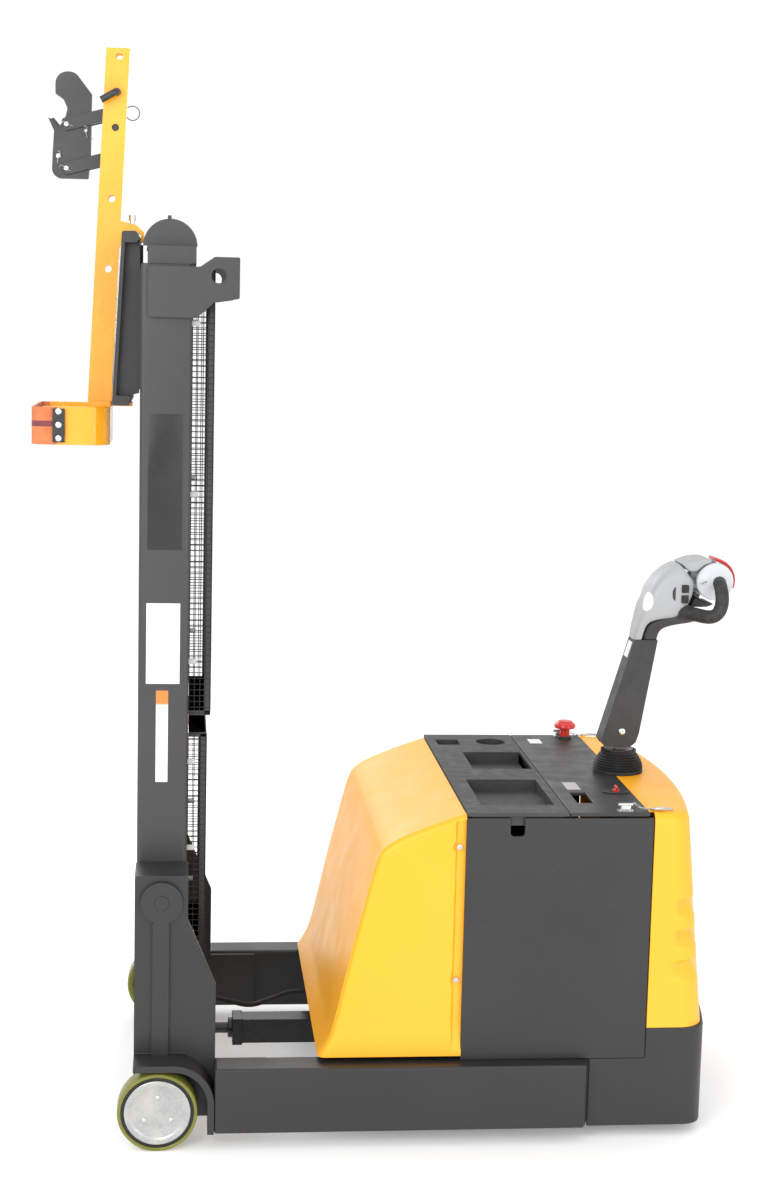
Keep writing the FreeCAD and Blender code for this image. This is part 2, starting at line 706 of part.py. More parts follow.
def post_brackets():
    """Hook over the carriage's top bar with its clamping bolt, and the lower claw."""
    hook = [(post_x("1905", "post_depth / 2"), "1905"), (post_x("1960", "post_depth / 2"), "1960"),
            ("-66", "1952", "6"),
            ("-48", "1936", "6"), ("-48", "1916"), ("-56", "1916"), ("-56", "1934"), ("-94", "1934"),
            ("-94", "1905")]
    hook_solid = slab("HookPlate", "y", hook, "-post_half", "post_half")
    upper = cut("HookBored", hook_solid, rod("HookBore", "z", "-75", "0", ("1930", "1970"), "5"))
    claw = [(post_x("1600", "post_depth / 2"), "1600"), ("-112", "1600"), ("-112.5", "1565"),
            ("-72", "1565"),
            ("-72", "1557"), (post_x("post_foot_z", "post_depth / 2"), "1557")]
    lower = slab("ClawPlate", "y", claw, "-post_half", "post_half")
    bolt = fuse("HookBolt", rod("HookBoltShank", "z", "-75", "0", ("1935", "1966"), "5"),
                rod("HookBoltHead", "z", "-75", "0", ("1962", "1974"), "8"))
    return upper, lower, bolt


def head_carrier():
    """Block that slides in the post and is locked by a pin; its ears hold the links."""
    inner = "post_half - post_wall - slide_gap"
    rear = "post_depth / 2 - post_wall - slide_gap"
    low = "link_z - link_drop - 40"
    high = "lock_z + 40"
    back_x = [post_x(low, rear), post_x(high, rear)]
    front_x = [post_x(low, "-post_depth / 2 + 2"), post_x(high, "-post_depth / 2 + 2")]
    side = [(front_x[0], low), (back_x[0], low), (back_x[1], high), (front_x[1], high)]
    pins = [("link_x + link_run", "link_z + link_rise", "link_pin + running_gap"),
            ("link_x + link_run", "link_z + link_rise - link_drop", "link_pin + running_gap"),
            (post_x("lock_z", "3"), "lock_z", "hole_radius - 0.5")]
    near = slab("CarrierNear", "y", side, "-(" + inner + ")", "-(" + inner + ") + 6", pins)
    far = slab("CarrierFar", "y", side, inner + " - 6", inner, pins)
    web = [(post_x(low, rear + " - 6"), low), (back_x[0], low), (back_x[1], high),
           (post_x(high, rear + " - 6"), high)]
    back = slab("CarrierBack", "y", web, "-(" + inner + ")", inner)
    keep("head_carrier", fuse("HeadCarrier", near, far, back))
    x = post_x("lock_z", "3")
    shank = rod("LockShank", "y", x, ("-post_half - 14", "post_half + 14"), "lock_z", "hole_radius - 0.6")
    arm = hose("LockArm", [(value(x), -value("post_half") - 14, value("lock_z")),
                           (value(x), -value("post_half") - 24, value("lock_z")),
                           (value(x) - 34, -value("post_half") - 24, value("lock_z") - 20)], [8], 7.4)
    keep("lock_pin", fuse("LockPin", shank, arm))


def links():
    """Two pairs of equal bars, a parallel linkage between the carrier and the beak."""
    bar_low = "beak_half + beak_plate + plate_gap"
    for tag, drop in (("upper", "0"), ("lower", "link_drop")):
        z = "link_z - " + drop
        slope = "link_half * link_rise / link_run"
        tail_x, tail_z = "link_x + link_run + 8", z + " + link_rise + 2"
        nose_x, nose_z = "link_x - 8", z + " - 2"
        outline = [
            (nose_x + " + " + slope, nose_z + " - link_half", "6"),
            (tail_x + " + " + slope, tail_z + " - link_half", "6"),
            (tail_x + " - " + slope, tail_z + " + link_half", "6"),
            (nose_x + " - " + slope, nose_z + " + link_half", "6"),
        ]
        holes = [("link_x", z, "link_pin + running_gap" if tag == "upper" else "link_pin + open_gap")]
        bars = []
        for side, low in (("Near", "-(" + bar_low + ") - link_plate"), ("Far", bar_low)):
            plate = slab("Link" + tag.title() + side, "y", outline, low, low + " + link_plate", holes)
            bars.append(plate)
        pin_span = "post_half - post_wall - slide_gap"
        pin = rod("LinkPin" + tag.title(), "y", "link_x + link_run", ("-(" + pin_span + ")", pin_span),
                  z + " + link_rise", "link_pin")
        keep("links_" + tag, fuse("Links" + tag.title(), pin, *bars))


def beak():
    """Two side plates with the drum-rim mouth, spacer block and the clevis pins."""
    outline = [
        ("-242", "2276", "26"), ("-200", "2276", "25"), ("-164", "2230", "3"), ("-166", "2100"),
        ("-171", "2049", "4"), ("-250", "2049", "20"), ("-248", "2100"), ("-245", "2150", "10"),
        ("-258", "2178", "1"), ("-242", "2170", "6"), ("-234", "2158", "3"), ("-228", "2168", "3"),
        ("-220", "2181", "6"), ("-216", "2198", "12"), ("-225", "2218", "14"), ("-242", "2229", "1.5"),
    ]
    plates = []
    for tag, low in (("Near", "-beak_half - beak_plate"), ("Far", "beak_half")):
        holes = [("link_x", "link_z", "link_pin"), ("link_x", "link_z - link_drop", "link_pin"),
                 ("-176", "2151", "3.5"), ("-235", "2096", "5")]
        plates.append(slab("Beak" + tag, "y", outline, low, low + " + beak_plate", holes))
    keep("beak_plates", group("BeakPlates", *plates))
    reach = "beak_half + beak_plate + link_plate + 4"
    spacer = rod("BeakSpacer", "y", "-165", ("-beak_half", "beak_half"), "2140", "6")
    pins = []
    for tag, x, z in (("A", "link_x", "link_z"), ("B", "link_x", "link_z - link_drop")):
        pins.append(rod("BeakPin" + tag, "y", x, ("-(" + reach + ")", reach), z, "link_pin"))
    for tag, x, z, radius in (("C", "-176", "2151", "3.5"), ("D", "-235", "2096", "5")):
        span = ("-beak_half - beak_plate - 6", "beak_half + beak_plate + 6")
        pins.append(rod("BeakPin" + tag, "y", x, span, z, radius))
    keep("beak_pins", group("BeakPins", spacer, *pins))


def beak_jaw():
    """Sprung pawl between the plates that bears on the drum's rim."""
    outline = [("-228", "2086", "3"), ("-216", "2102"), ("-222", "2150"), ("-246", "2178", "1.5"),
               ("-252", "2176", "1.5"),
               ("-240", "2150"), ("-243", "2106"), ("-243", "2086", "3")]
    keep("beak_jaw",
         slab("BeakJaw", "y", outline, "-beak_half + plate_gap", "beak_half - plate_gap",
              [("-235", "2096", "5 + running_gap")]))


def cradle():
    """Rolled arms at the post's foot with a belt clamped between their tips."""
    half = "cradle_half"
    tip = "cradle_tip"
    root = "post_foot_x + post_depth / 2"
    inner_root = root + " - cradle_wall"
    arms = []
    for tag, sign in (("Near", -1), ("Far", 1)):
        outline = [
            (root, "0"), (root, "%d * (%s - 20)" % (sign, half), "30"),
            ("-150", "%d * %s" % (sign, half), "20"),
            (tip, "%d * %s" % (sign, half)), (tip, "%d * (%s - cradle_wall)" % (sign, half)),
            ("-150", "%d * (%s - cradle_wall)" % (sign, half), "15"),
            (inner_root, "%d * (%s - cradle_wall - 20)" % (sign, half), "25"), (inner_root, "0"),
        ]
        arms.append(slab("Arm" + tag, "z", outline, "cradle_bottom", "cradle_top - 10"))
    flange = box("CradleShelf", ("-170", root), ("-60", "60"), ("cradle_top - 10", "cradle_top"))
    keep("cradle_arms", fuse("CradleArms", flange, *arms))
    outer = half + " + belt_depth"
    outline = [
        ("-232", "-(" + outer + ")"), ("-286", "-(" + outer + ")", "18"), ("-286", outer, "18"),
        ("-232", outer),
        ("-232", half), ("-280", half, "12"), ("-280", "-" + half, "12"), ("-232", "-" + half),
    ]
    keep("cradle_belt", slab("CradleBelt", "z", outline, "cradle_bottom + 1", "cradle_top - 11"))
    plates = []
    screws = []
    for tag, sign in (("Near", -1), ("Far", 1)):
        face = "%d * (%s)" % (sign, outer)
        back = "%d * (%s + 5)" % (sign, outer)
        span = (back, face) if sign < 0 else (face, back)
        plates.append(box("Clamp" + tag, ("-240", "-214"), span, ("cradle_bottom + 6", "cradle_top - 14")))
        for step in range(3):
            z = "cradle_bottom + 15 + %d * 29" % step
            head = "%d * (%s + 8)" % (sign, outer)
            reach = (head, back) if sign < 0 else (back, head)
            screws.append(rod("ClampScrew%s%d" % (tag, step), "y", "-227", reach, z, "6"))
    keep("clamp_plates", group("ClampPlates", *plates))
    return screws


# ----------------------------------------------------------- the tilt cylinder
def tilt_cylinder():
    """Square-bodied cylinder from the cross beam to the clevis at the mast's foot."""
    body = "tilt_body"
    tube = box("TiltTube", ("191", "tilt_heel_x - 22"), ("-" + body, body),
               ("tilt_z - " + body, "tilt_z + " + body))
    heel = rod("TiltHeel", "y", "tilt_heel_x", ("-16", "16"), "tilt_z", "20")
    neck = box("TiltNeck", ("tilt_heel_x - 22", "tilt_heel_x"), ("-16", "16"),
               ("tilt_z - 20", "tilt_z + 20"))
    heel_bore = rod("TiltHeelBore", "y", "tilt_heel_x", ("-20", "20"), "tilt_z", "tilt_pin + running_gap")
    block = box("TiltBlock", ("168", "191"), ("-32", "32"), ("tilt_z - 32", "tilt_z + 31"))
    gland = rod("TiltGland", "x", ("158", "168"), "0", "tilt_z", "23")
    bore = rod("TiltBore", "x", ("150", "500"), "0", "tilt_z", "tilt_rod + running_gap")
    keep("tilt_cylinder",
         cut("TiltCylinder", fuse("TiltSolid", tube, block, gland, heel, neck), bore, heel_bore))
    shaft = rod("TiltShaft", "x", ("tilt_pin_x + 22", "240"), "0", "tilt_z", "tilt_rod")
    eye = box("TiltEye", ("tilt_pin_x - 22", "tilt_pin_x + 29"), ("-16", "16"),
              ("tilt_z - 20", "tilt_z + 20"))
    hole = rod("TiltEyeBore", "y", "tilt_pin_x", ("-20", "20"), "tilt_z", "tilt_pin + tilt_pin_gap")
    keep("tilt_rod", cut("TiltRod", fuse("TiltRodSolid", shaft, eye), hole))


# ------------------------------------------------------------------- the body
def bow_section(front, corner, bow, half, z):
    """Plan outline of the rear end at one height: straight sides and a bowed back."""
    points = [FreeCAD.Vector(x, y, z) for x,
              y in ((front, -half), (corner, -half), (corner, half), (front, half))]
    middle = FreeCAD.Vector(corner + bow, 0, z)
    edges = [Part.LineSegment(points[0], points[1]).toShape(),
             Part.Arc(points[1], middle, points[2]).toShape(),
             Part.LineSegment(points[2], points[3]).toShape(),
             Part.LineSegment(points[3], points[0]).toShape()]
    return Part.Wire(edges)


def bow_solid(front, low, high, inset):
    """Solid between two bowed plan outlines with rounded rear corners."""
    half = value("body_half") - inset
    sections = [bow_section(front, corner - inset, bow, half, z) for corner, bow, z in (low, high)]
    solid = Part.makeLoft(sections, True, True)
    edges = []
    for edge in solid.Edges:
        first, last = edge.Vertexes[0].Point, edge.Vertexes[-1].Point
        if abs(first.z - last.z) > 0.9 * (high[2] - low[2]) and first.x > front + 1:
            edges.append(edge)
    return solid.makeFillet(value("corner_round") - inset, edges)


def rear_shells():
    """Grey hull skirt and the yellow rear cover above it."""
    floor = value("hull_bottom")
    seam = value("hull_top")
    top = value("panel_top")
    start = value("body_rear")
    hull_start = value("leg_rear") + 12
    wall = value("body_sheet")
    hull = (value("hull_corner"), value("hull_bow"))
    deck = (value("deck_corner"), value("deck_bow"))
    outer = bow_solid(hull_start, (*hull, floor), (*hull, seam), 0)
    inner = bow_solid(hull_start - 10, (*hull, floor - 5), (*hull, seam + 5), wall)
    step = Part.makeBox(start - hull_start, 1000, 200, FreeCAD.Vector(hull_start, -500, value("leg_top")))
    keep("hull_skirt", shaped("HullSkirt", outer.cut(inner).cut(step)))
    cover_wall = value("cover_wall")
    shell = bow_solid(start, (*hull, seam), (*deck, top), 0)
    room = bow_solid(start - 10, (*hull, seam - 1), (*deck, top - cover_wall), cover_wall)
    neck = Part.makeCylinder(value("boot_radius") - 8, 40, FreeCAD.Vector(value("steer_x"), 0, top - 30))
    cover = shell.cut(room).cut(neck)
    for z in (365, 428, 508):
        grip = Part.makeCylinder(9, 60, FreeCAD.Vector(value("hull_corner") + 4, -390, z),
                                 FreeCAD.Vector(0, 1, 0))
        cover = cover.cut(grip)
    keep("rear_cover", shaped("RearCover", cover))


def side_plates():
    """Sheet sides of the body with a notch for the tray's tab."""
    low = "leg_top + floor_plate"
    high = "panel_top - panel_sheet - 3"
    outline = [("body_front", low), ("body_rear - 1", low), ("body_rear - 1", high), ("774", high),
               ("774", high + " - 40", "8"), ("744", high + " - 40", "8"), ("744", high),
               ("body_front", high)]
    right = slab("SideRight", "y", outline, "body_half - body_sheet", "body_half")
    rail_z = ("leg_top", low)
    rail = box("SideRail", ("body_front", "body_rear - 1"), ("body_half - body_sheet", "body_half"), rail_z)
    side = fuse("SidePlateRight", right, rail)
    keep("side_plates", group("SidePlates", side, mirrored("SidePlateLeft", side)))


def front_cover():
    """Sloping front cover, a thin shell open to the battery room and below."""
    half = "body_half - 4"
    rear = "body_front - 1"

    def skin(inset):
        i = str(inset)
        return [
            ("345 + " + i, "leg_top + 1 - %s * 2" % i), ("371 + " + i, "243"), ("417 + " + i, "450"),
            ("466 + " + i, "656 - " + i, "50"), ("563", "692 - " + i), ("613", "709 - " + i),
            (rear + " + %s * 2" % i, "720 - " + i), (rear + " + %s * 2" % i, "leg_top + 1 - %s * 2" % i),
        ]
    outer = slab("FrontCoverOuter", "y", skin(0), "-(" + half + ")", half)
    inner = slab("FrontCoverInner", "y", skin(5), "-(" + half + " - cover_wall)", half + " - cover_wall")
    keep("front_cover", cut("FrontCover", outer, inner))


def tray_cover():
    """Battery lid with sunk trays for tools and a cup."""
    lip_low = "panel_top - panel_sheet"
    lip = box("TrayLip", ("body_front + 2", "panel_front - 2"), ("-body_half", "body_half"),
              (lip_low, "panel_top"))
    well = box("TrayWell", ("body_front + 12", "panel_front - 12"),
               ("-(body_half - body_sheet - 4)", "body_half - body_sheet - 4"),
               (lip_low + " - 22", lip_low))
    floor = lip_low + " - 18"
    pockets = [
        box("PocketSquare", ("673", "728"), ("285", "345"), (floor, "panel_top + 1")),
        rod("PocketCup", "z", "808", "320", (floor, "panel_top + 1"), "36"),
        box("PocketMiddle", ("722", "862"), ("20", "200"), (floor, "panel_top + 1")),
        box("PocketNear", ("690", "850"), ("-330", "-90"), (floor, "panel_top + 1")),
    ]
    keep("tray_cover", cut("TrayCover", fuse("TraySolid", lip, well), *pockets))


def control_panel():
    """Folded sheet behind the tray with a window and room for the tiller's neck."""
    low = "panel_top - panel_sheet"
    sheet_top = box("PanelTop", ("panel_front", "body_rear - 11"), ("-body_half", "body_half"),
                    (low, "panel_top"))
    fold = box("PanelFold", ("panel_front", "panel_front + 4"),
               ("-(body_half - body_sheet - 2)", "body_half - body_sheet - 2"),
               (low + " - 24", low))
    window = box("PanelWindow", ("905", "940"), ("-312", "-217"), (low + " - 5", "panel_top + 5"))
    neck = rod("PanelNeck", "z", "steer_x", "0", (low + " - 5", "panel_top + 5"), "boot_radius - 8")
    stop_hole = rod("PanelStopHole", "z", "stop_x", "stop_y", (low + " - 5", "panel_top + 5"), "11")
    key_hole = rod("PanelKeyHole", "z", "key_x", "key_y", (low + " - 5", "panel_top + 5"), "9")
    keep("control_panel",
         cut("ControlPanel", fuse("PanelSolid", sheet_top, fold), window, neck, stop_hole, key_hole))


def inner_units():
    """Battery, pump set with oil tank, and motor controller."""
    shelf = "leg_top + floor_plate"
    keep("battery",
         box("Battery", ("body_front + 20", "panel_front - 30"), ("-330", "330"), (shelf, "660")))
    floor_top = "floor_bottom + floor_plate"
    tank = box("OilTank", ("460", "620"), ("-300", "-90"), (floor_top, "360"))
    motor = rod("PumpMotor", "z", "540", "190", (floor_top, "330"), "70")
    controller = box("Controller", ("panel_front + 20", "panel_front + 60"), ("-160", "160"),
                     (floor_top, "420"))
    keep("power_unit", group("PowerUnit", tank, motor, controller))


# --------------------------------------------------------- drive and steering
def drive():
    """Vertical drive head that turns with the tiller, and its wheel."""
    hub = "drive_width / 2 + 2"
    wheel_top = "2 * drive_radius"
    column = rod("DriveMotor", "z", "steer_x", "0", (wheel_top + " + 30", "560"), "75")
    bridge = box("DriveBridge", ("steer_x - 60", "steer_x + 60"), ("-(" + hub + ") - 16", hub + " + 16"),
                 (wheel_top + " + 8", wheel_top + " + 30"))
    cheeks = []
    for tag, low in (("A", "-(" + hub + ") - 16"), ("B", hub)):
        outline = [("steer_x - 45", wheel_top + " + 8"), ("steer_x + 45", wheel_top + " + 8"),
                   ("steer_x + 26", "drive_radius - 28", "20"), ("steer_x - 26", "drive_radius - 28", "20")]
        cheeks.append(slab("DriveCheek" + tag, "y", outline, low, low + " + 16"))
    axle = rod("DriveAxle", "y", "steer_x", ("-(" + hub + ")", hub), "drive_radius", "drive_axle")
    neck = rod("SteerNeck", "z", "steer_x", "0", ("560", "tiller_z - 46"), "neck_radius")
    ear_neck = box("SteerEarNeck", ("steer_x - 10", "steer_x + 10"), ("-14", "14"),
                   ("tiller_z - 46", "tiller_z"))
    ear_eye = rod("SteerEarEye", "y", "steer_x", ("-14", "14"), "tiller_z", "tiller_pin + 9")
    bore = rod("SteerEarBore", "y", "steer_x", ("-20", "20"), "tiller_z", "tiller_pin + running_gap")
    solid = fuse("DriveSolid", column, bridge, axle, neck, ear_neck, ear_eye, *cheeks)
    keep("drive_unit", cut("DriveUnit", solid, bore))
    bore_radius = "drive_axle + running_gap"
    half = "drive_width / 2"
    profile = [("-" + half, bore_radius), ("-" + half, "drive_radius", "6"), (half, "drive_radius", "6"),
               (half, bore_radius)]
    keep("drive_wheel", turned("DriveWheel", "y", "steer_x", "0", "drive_radius", profile))


def tiller():
    """Boot, folded arm, head, grips and controls of the tiller."""
    base = "panel_top"
    top = "tiller_z - 47"
    wall = "4"
    profile = [(base + " + 0.3", "boot_radius"), (base + " + 22", "boot_radius + 1", "8"),
               (top, "neck_radius + 8"),
               (top, "neck_radius + 8 - " + wall), (base + " + 22", "boot_radius - 3"),
               (base + " + 0.3", "boot_radius - " + wall)]
    keep("tiller_boot", turned("TillerBoot", "z", "steer_x", "0", "0", profile))
    lean = "tiller_lean"

    def at(rise, across):
        """A point up the arm from the tilt pin and across it towards the operator."""
        return ("steer_x + %s * %s + (%s)" % (lean, rise, across), "tiller_z + (%s)" % rise)
    side = [at("-36", "-30"), at("-24", "-42"), at("215", "-37"), at("215", "18"), at("-4", "42"),
            at("-26", "41"), at("-38", "30")]
    arm_outer = slab("ArmOuter", "y", side, "-tiller_half - 6", "tiller_half + 6")
    room = [at("-60", "-36"), at("150", "-31"), at("150", "18"), at("8", "34"), at("-30", "62"),
            at("-60", "62")]
    arm_inner = slab("ArmInner", "y", room, "-tiller_half", "tiller_half")
    pin = rod("TillerPin", "y", "steer_x", ("-tiller_half - 6", "tiller_half + 6"), "tiller_z",
              "tiller_pin")
    keep("tiller_arm", fuse("TillerArm", cut("ArmShell", arm_outer, arm_inner), pin))
    shell = [
        (at("215", "-36")[0], "1042"), ("1084", "1066", "14"), ("1101", "1142", "30"),
        ("1116", "1180", "30"), ("1140", "1206", "20"),
        ("1174", "1222"), ("1250", "1222"), ("1250", "1140"), ("1206", "1096", "6"),
        ("1152", "1092", "26"), (at("215", "17")[0], "1042"),
    ]
    centre = ("throttle_x", "throttle_z")
    cowl = slab("HeadCowl", "y", shell, "-head_half", "head_half")
    clearing = rod("HeadClearing", "y", centre[0], ("-head_half - 5", "head_half + 5"), centre[1],
                   "throttle_radius + 2")
    roof = [("1176", "1200"), ("1181", "1222"), ("1246", "1235", "8"), ("1250", "1200")]
    keel = [("1200", "1200"), ("throttle_x", "1200"), ("throttle_x + 10", "1146"), ("1206", "1110")]
    parts = [
        cut("HeadBody", cowl, clearing),
        slab("HeadRoof", "y", roof, "-nose_half", "nose_half"),
        slab("HeadKeel", "y", keel, "-nose_half", "nose_half"),
        rod("HeadNose", "y", centre[0], ("-nose_half", "nose_half"), centre[1], "nose_radius"),
    ]
    shaft_room = rod("HeadShaftRoom", "y", centre[0], ("-nose_half - 5", "nose_half + 5"), centre[1],
                     "9 + running_gap")
    rooms = [shaft_room]
    for tag, level in BUTTONS.items():
        rooms.append(box("ButtonRoom" + tag.title(), ("1179.5", "1196.5"),
                         ("-head_half - 5", "-head_half + 5.5"),
                         ("%s - 9.5" % level, "%s + 9.5" % level)))
    keep("tiller_head", cut("TillerHead", fuse("HeadSolid", *parts), *rooms))


def tiller_grips():
    """Closed hand loops on both sides of the head."""
    loops = []
    for tag, sign in (("Near", -1), ("Far", 1)):
        root = sign * value("head_half")
        points = [(1190, root, 1111), (1190, root + sign * 34, 1111), (1208, sign * 130, 1106),
                  (1244, sign * 142, 1110),
                  (1256, sign * 142, 1150), (1254, sign * 116, 1184), (1262, sign * 79, 1183)]
        loops.append(hose("Grip" + tag, points, [34, 30, 22, 22, 20], 15))
    keep("grip_loops", group("GripLoops", *loops))


def tiller_controls():
    """Butterfly throttle, belly switch and the two lift buttons."""
    x, z = "throttle_x", "throttle_z"
    shaft = rod("ButterflyShaft", "y", x, ("-nose_half - 40", "nose_half + 40"), z, "9")
    wings = []
    for tag, low in (("A", "-nose_half - 32"), ("B", "nose_half + 4")):
        wings.append(rod("ButterflyWing" + tag, "y", x, (low, low + " + 28"), z, "throttle_radius"))
    keep("throttle", fuse("Throttle", shaft, *wings))
    span = ("-nose_half", "nose_half")
    inner = "nose_radius + belly_travel + 2"
    strip = cut("BellyRing", rod("BellyOuter", "y", x, span, z, inner + " + belly_plate"),
                rod("BellyInner", "y", x, ("-60", "60"), z, inner))
    front = box("BellyFront", ("throttle_x - 80", "throttle_x"), ("-60", "60"),
                ("throttle_z - 80", "throttle_z + 80"))
    below = box("BellyBelow", ("throttle_x - 80", "throttle_x + 80"), ("-60", "60"),
                ("throttle_z - 80", "throttle_z - 36"))
    keep("belly_switch", cut("BellySwitch", strip, front, below))
    for tag, level in BUTTONS.items():
        button = box("Button" + tag.title(), ("1180", "1196"), ("-head_half - 4", "-head_half + 2.5"),
                     ("%s - 9" % level, "%s + 9" % level))
        keep("button_" + tag, button)


def panel_controls():
    """Emergency stop and key on the control panel."""
    x, y = "stop_x", "stop_y"
    top = "panel_top"
    stem = rod("StopStem", "z", x, y, (top + " - 12", top + " + 28"), "10")
    cap = turned("StopCap", "z", x, y, "0", [(top + " + 26", "0"), (top + " + 26", "stop_radius", "2"),
                                             (top + " + 36", "stop_radius", "5"),
                                             (top + " + 45", "stop_radius - 14", "8"),
                                             (top + " + 46", "0")])
    keep("stop_button", fuse("StopButton", stem, cap))
    barrel = rod("KeyBarrel", "z", "key_x", "key_y", (top + " - 14", top + " + 6"), "8")
    bow = box("KeyBow", ("key_x - 2", "key_x + 2"), ("key_y - 12", "key_y + 12"),
              (top + " + 6", top + " + 30"))
    keep("key", fuse("Key", barrel, bow))


def cover_screws():
    """Pan heads that hold the front cover to the body."""
    heads = []
    for tag, sign in (("Near", -1), ("Far", 1)):
        for z in (652, 358):
            face = "%d * (body_half - 4)" % sign
            head = "%d * body_half" % sign
            span = (head, face) if sign < 0 else (face, head)
            heads.append(rod("CoverScrew%s%d" % (tag, z), "y", "636", span, str(z), "6"))
    keep("cover_screws", group("CoverScrews", *heads))


for name, sign in (("left", -1), ("right", 1)):
    front_wheel(name, sign)
leg()
tower()
floor_frame()
mast_uprights()
mast_ties()
lug_plates()
mast_pivots()
mesh_guards()
lift_cylinder()
mast_hose()
carriage()
hook_bolt = post()
head_carrier()
links()
beak()
beak_jaw()
clamp_screws = cradle()
keep("handler_bolts", group("HandlerBolts", hook_bolt, *clamp_screws))
tilt_cylinder()
rear_shells()
side_plates()
front_cover()
tray_cover()
control_panel()
inner_units()
drive()
tiller()
tiller_grips()
tiller_controls()
panel_controls()
cover_screws()

doc.recompute()
for thing in doc.Objects:
    if {"Invalid", "Error"} & set(thing.State):
        raise SystemExit("%s did not build: %s" % (thing.Name, thing.State))
for node, thing in NODES.items():
    if thing.Shape.isNull() or not thing.Shape.isValid() or not thing.Shape.Solids:
        raise SystemExit(node + " has no sound shape")
os.makedirs("parts", exist_ok=True)
for node, thing in NODES.items():
    thing.Shape.exportStep("parts/%s.step" % node)
print(len(NODES), "sub-parts written")
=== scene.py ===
"""Looks of a counterbalanced walk-behind stacker with a tilting mast and a drum handler.

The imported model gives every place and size; this file adds finishes and the finer pieces.
Lengths are in metres, X runs towards the operator and Z up from the floor.
"""
import json
import math

import bmesh
import bpy
from mathutils import Matrix, Vector
from mathutils.bvhtree import BVHTree


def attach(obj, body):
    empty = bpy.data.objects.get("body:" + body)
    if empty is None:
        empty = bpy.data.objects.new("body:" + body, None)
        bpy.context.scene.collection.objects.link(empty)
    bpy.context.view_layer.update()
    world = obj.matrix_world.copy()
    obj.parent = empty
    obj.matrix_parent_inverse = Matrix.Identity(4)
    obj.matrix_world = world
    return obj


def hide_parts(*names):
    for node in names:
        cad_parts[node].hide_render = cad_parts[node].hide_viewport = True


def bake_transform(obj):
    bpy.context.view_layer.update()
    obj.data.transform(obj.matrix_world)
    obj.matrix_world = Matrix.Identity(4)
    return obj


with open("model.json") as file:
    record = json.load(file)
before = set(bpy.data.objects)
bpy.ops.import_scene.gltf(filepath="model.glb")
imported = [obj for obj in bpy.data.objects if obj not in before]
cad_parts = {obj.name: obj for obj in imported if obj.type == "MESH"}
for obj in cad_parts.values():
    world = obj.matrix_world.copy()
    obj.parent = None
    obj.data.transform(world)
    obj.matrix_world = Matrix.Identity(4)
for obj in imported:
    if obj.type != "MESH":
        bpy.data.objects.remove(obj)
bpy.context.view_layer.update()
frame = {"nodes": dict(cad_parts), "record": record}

AXLE_X = -0.513
NODES = frame["nodes"]


def at(x, y, z):
    """A point given in millimetres, with X counted from the front axle."""
    return Vector((AXLE_X + x / 1000, y / 1000, z / 1000))


# millimetres, with X counted from the front axle
DECK_Z = 727                    # top of the deck and the panel
SKIRT_Z = 248                   # foot of the rear cover
COVER_HALF = 404                # half the width across both covers
COVER_WALL = 0.004              # metres
REAR_X = 1057                   # front edge of the rear cover
TILLER_X, TILT_PIN_Z = 1060, 827
THUMB_SHAFT = at(1259, 0, 1182)
WHEEL_RADIUS, WHEEL_FACE = 85, 441
MAST_FACE_Y = -245              # outer face of the near mast channel
COVER_SCREWS = [(636, 652), (636, 358)]
STOP_AT = at(1003, 365, DECK_Z)
KEY_X, KEY_Y = 1010, -215
DECK = DECK_Z / 1000            # metres
UP, ACROSS, ALONG = (0, 0, 1), (0, 1, 0), (1, 0, 0)
ORIGIN = Vector((0, 0, 0))


# ------------------------------------------------------------------ camera, lights and floor
def place_camera():
    """Eye-level view of the left side, turned a little towards the operator's end."""
    yaw, pitch, roll = 0.101, 0.140, -0.024
    place = at(38.94, -4539.35, 1768.18)
    ahead = Vector((math.sin(yaw) * math.cos(pitch), math.cos(yaw) * math.cos(pitch), -math.sin(pitch)))
    right = Vector((math.cos(yaw), -math.sin(yaw), 0))
    down = ahead.cross(right)
    turned_right = math.cos(roll) * right + math.sin(roll) * down
    turned_down = -math.sin(roll) * right + math.cos(roll) * down
    data = bpy.data.cameras.new("Camera")
    data.sensor_fit = "VERTICAL"
    data.sensor_height = 36
    data.sensor_width = 36
    data.lens = 60.47
    data.clip_end = 60
    camera = bpy.data.objects.new("Camera", data)
    bpy.context.scene.collection.objects.link(camera)
    axes = Matrix((turned_right, -turned_down, -ahead)).transposed()
    camera.matrix_world = Matrix.Translation(place) @ axes.to_4x4()
    bpy.context.scene.camera = camera


def area_light(name, place, target, size, power, tint=(1, 1, 1)):
    """A soft box at a place, facing a target."""
    data = bpy.data.lights.new(name, "AREA")
    data.shape = "RECTANGLE"
    data.size, data.size_y = size
    data.energy = power
    data.color = tint
    lamp = bpy.data.objects.new(name, data)
    lamp.location = place
    lamp.rotation_euler = (Vector(target) - Vector(place)).to_track_quat("-Z", "Y").to_euler()
    bpy.context.scene.collection.objects.link(lamp)


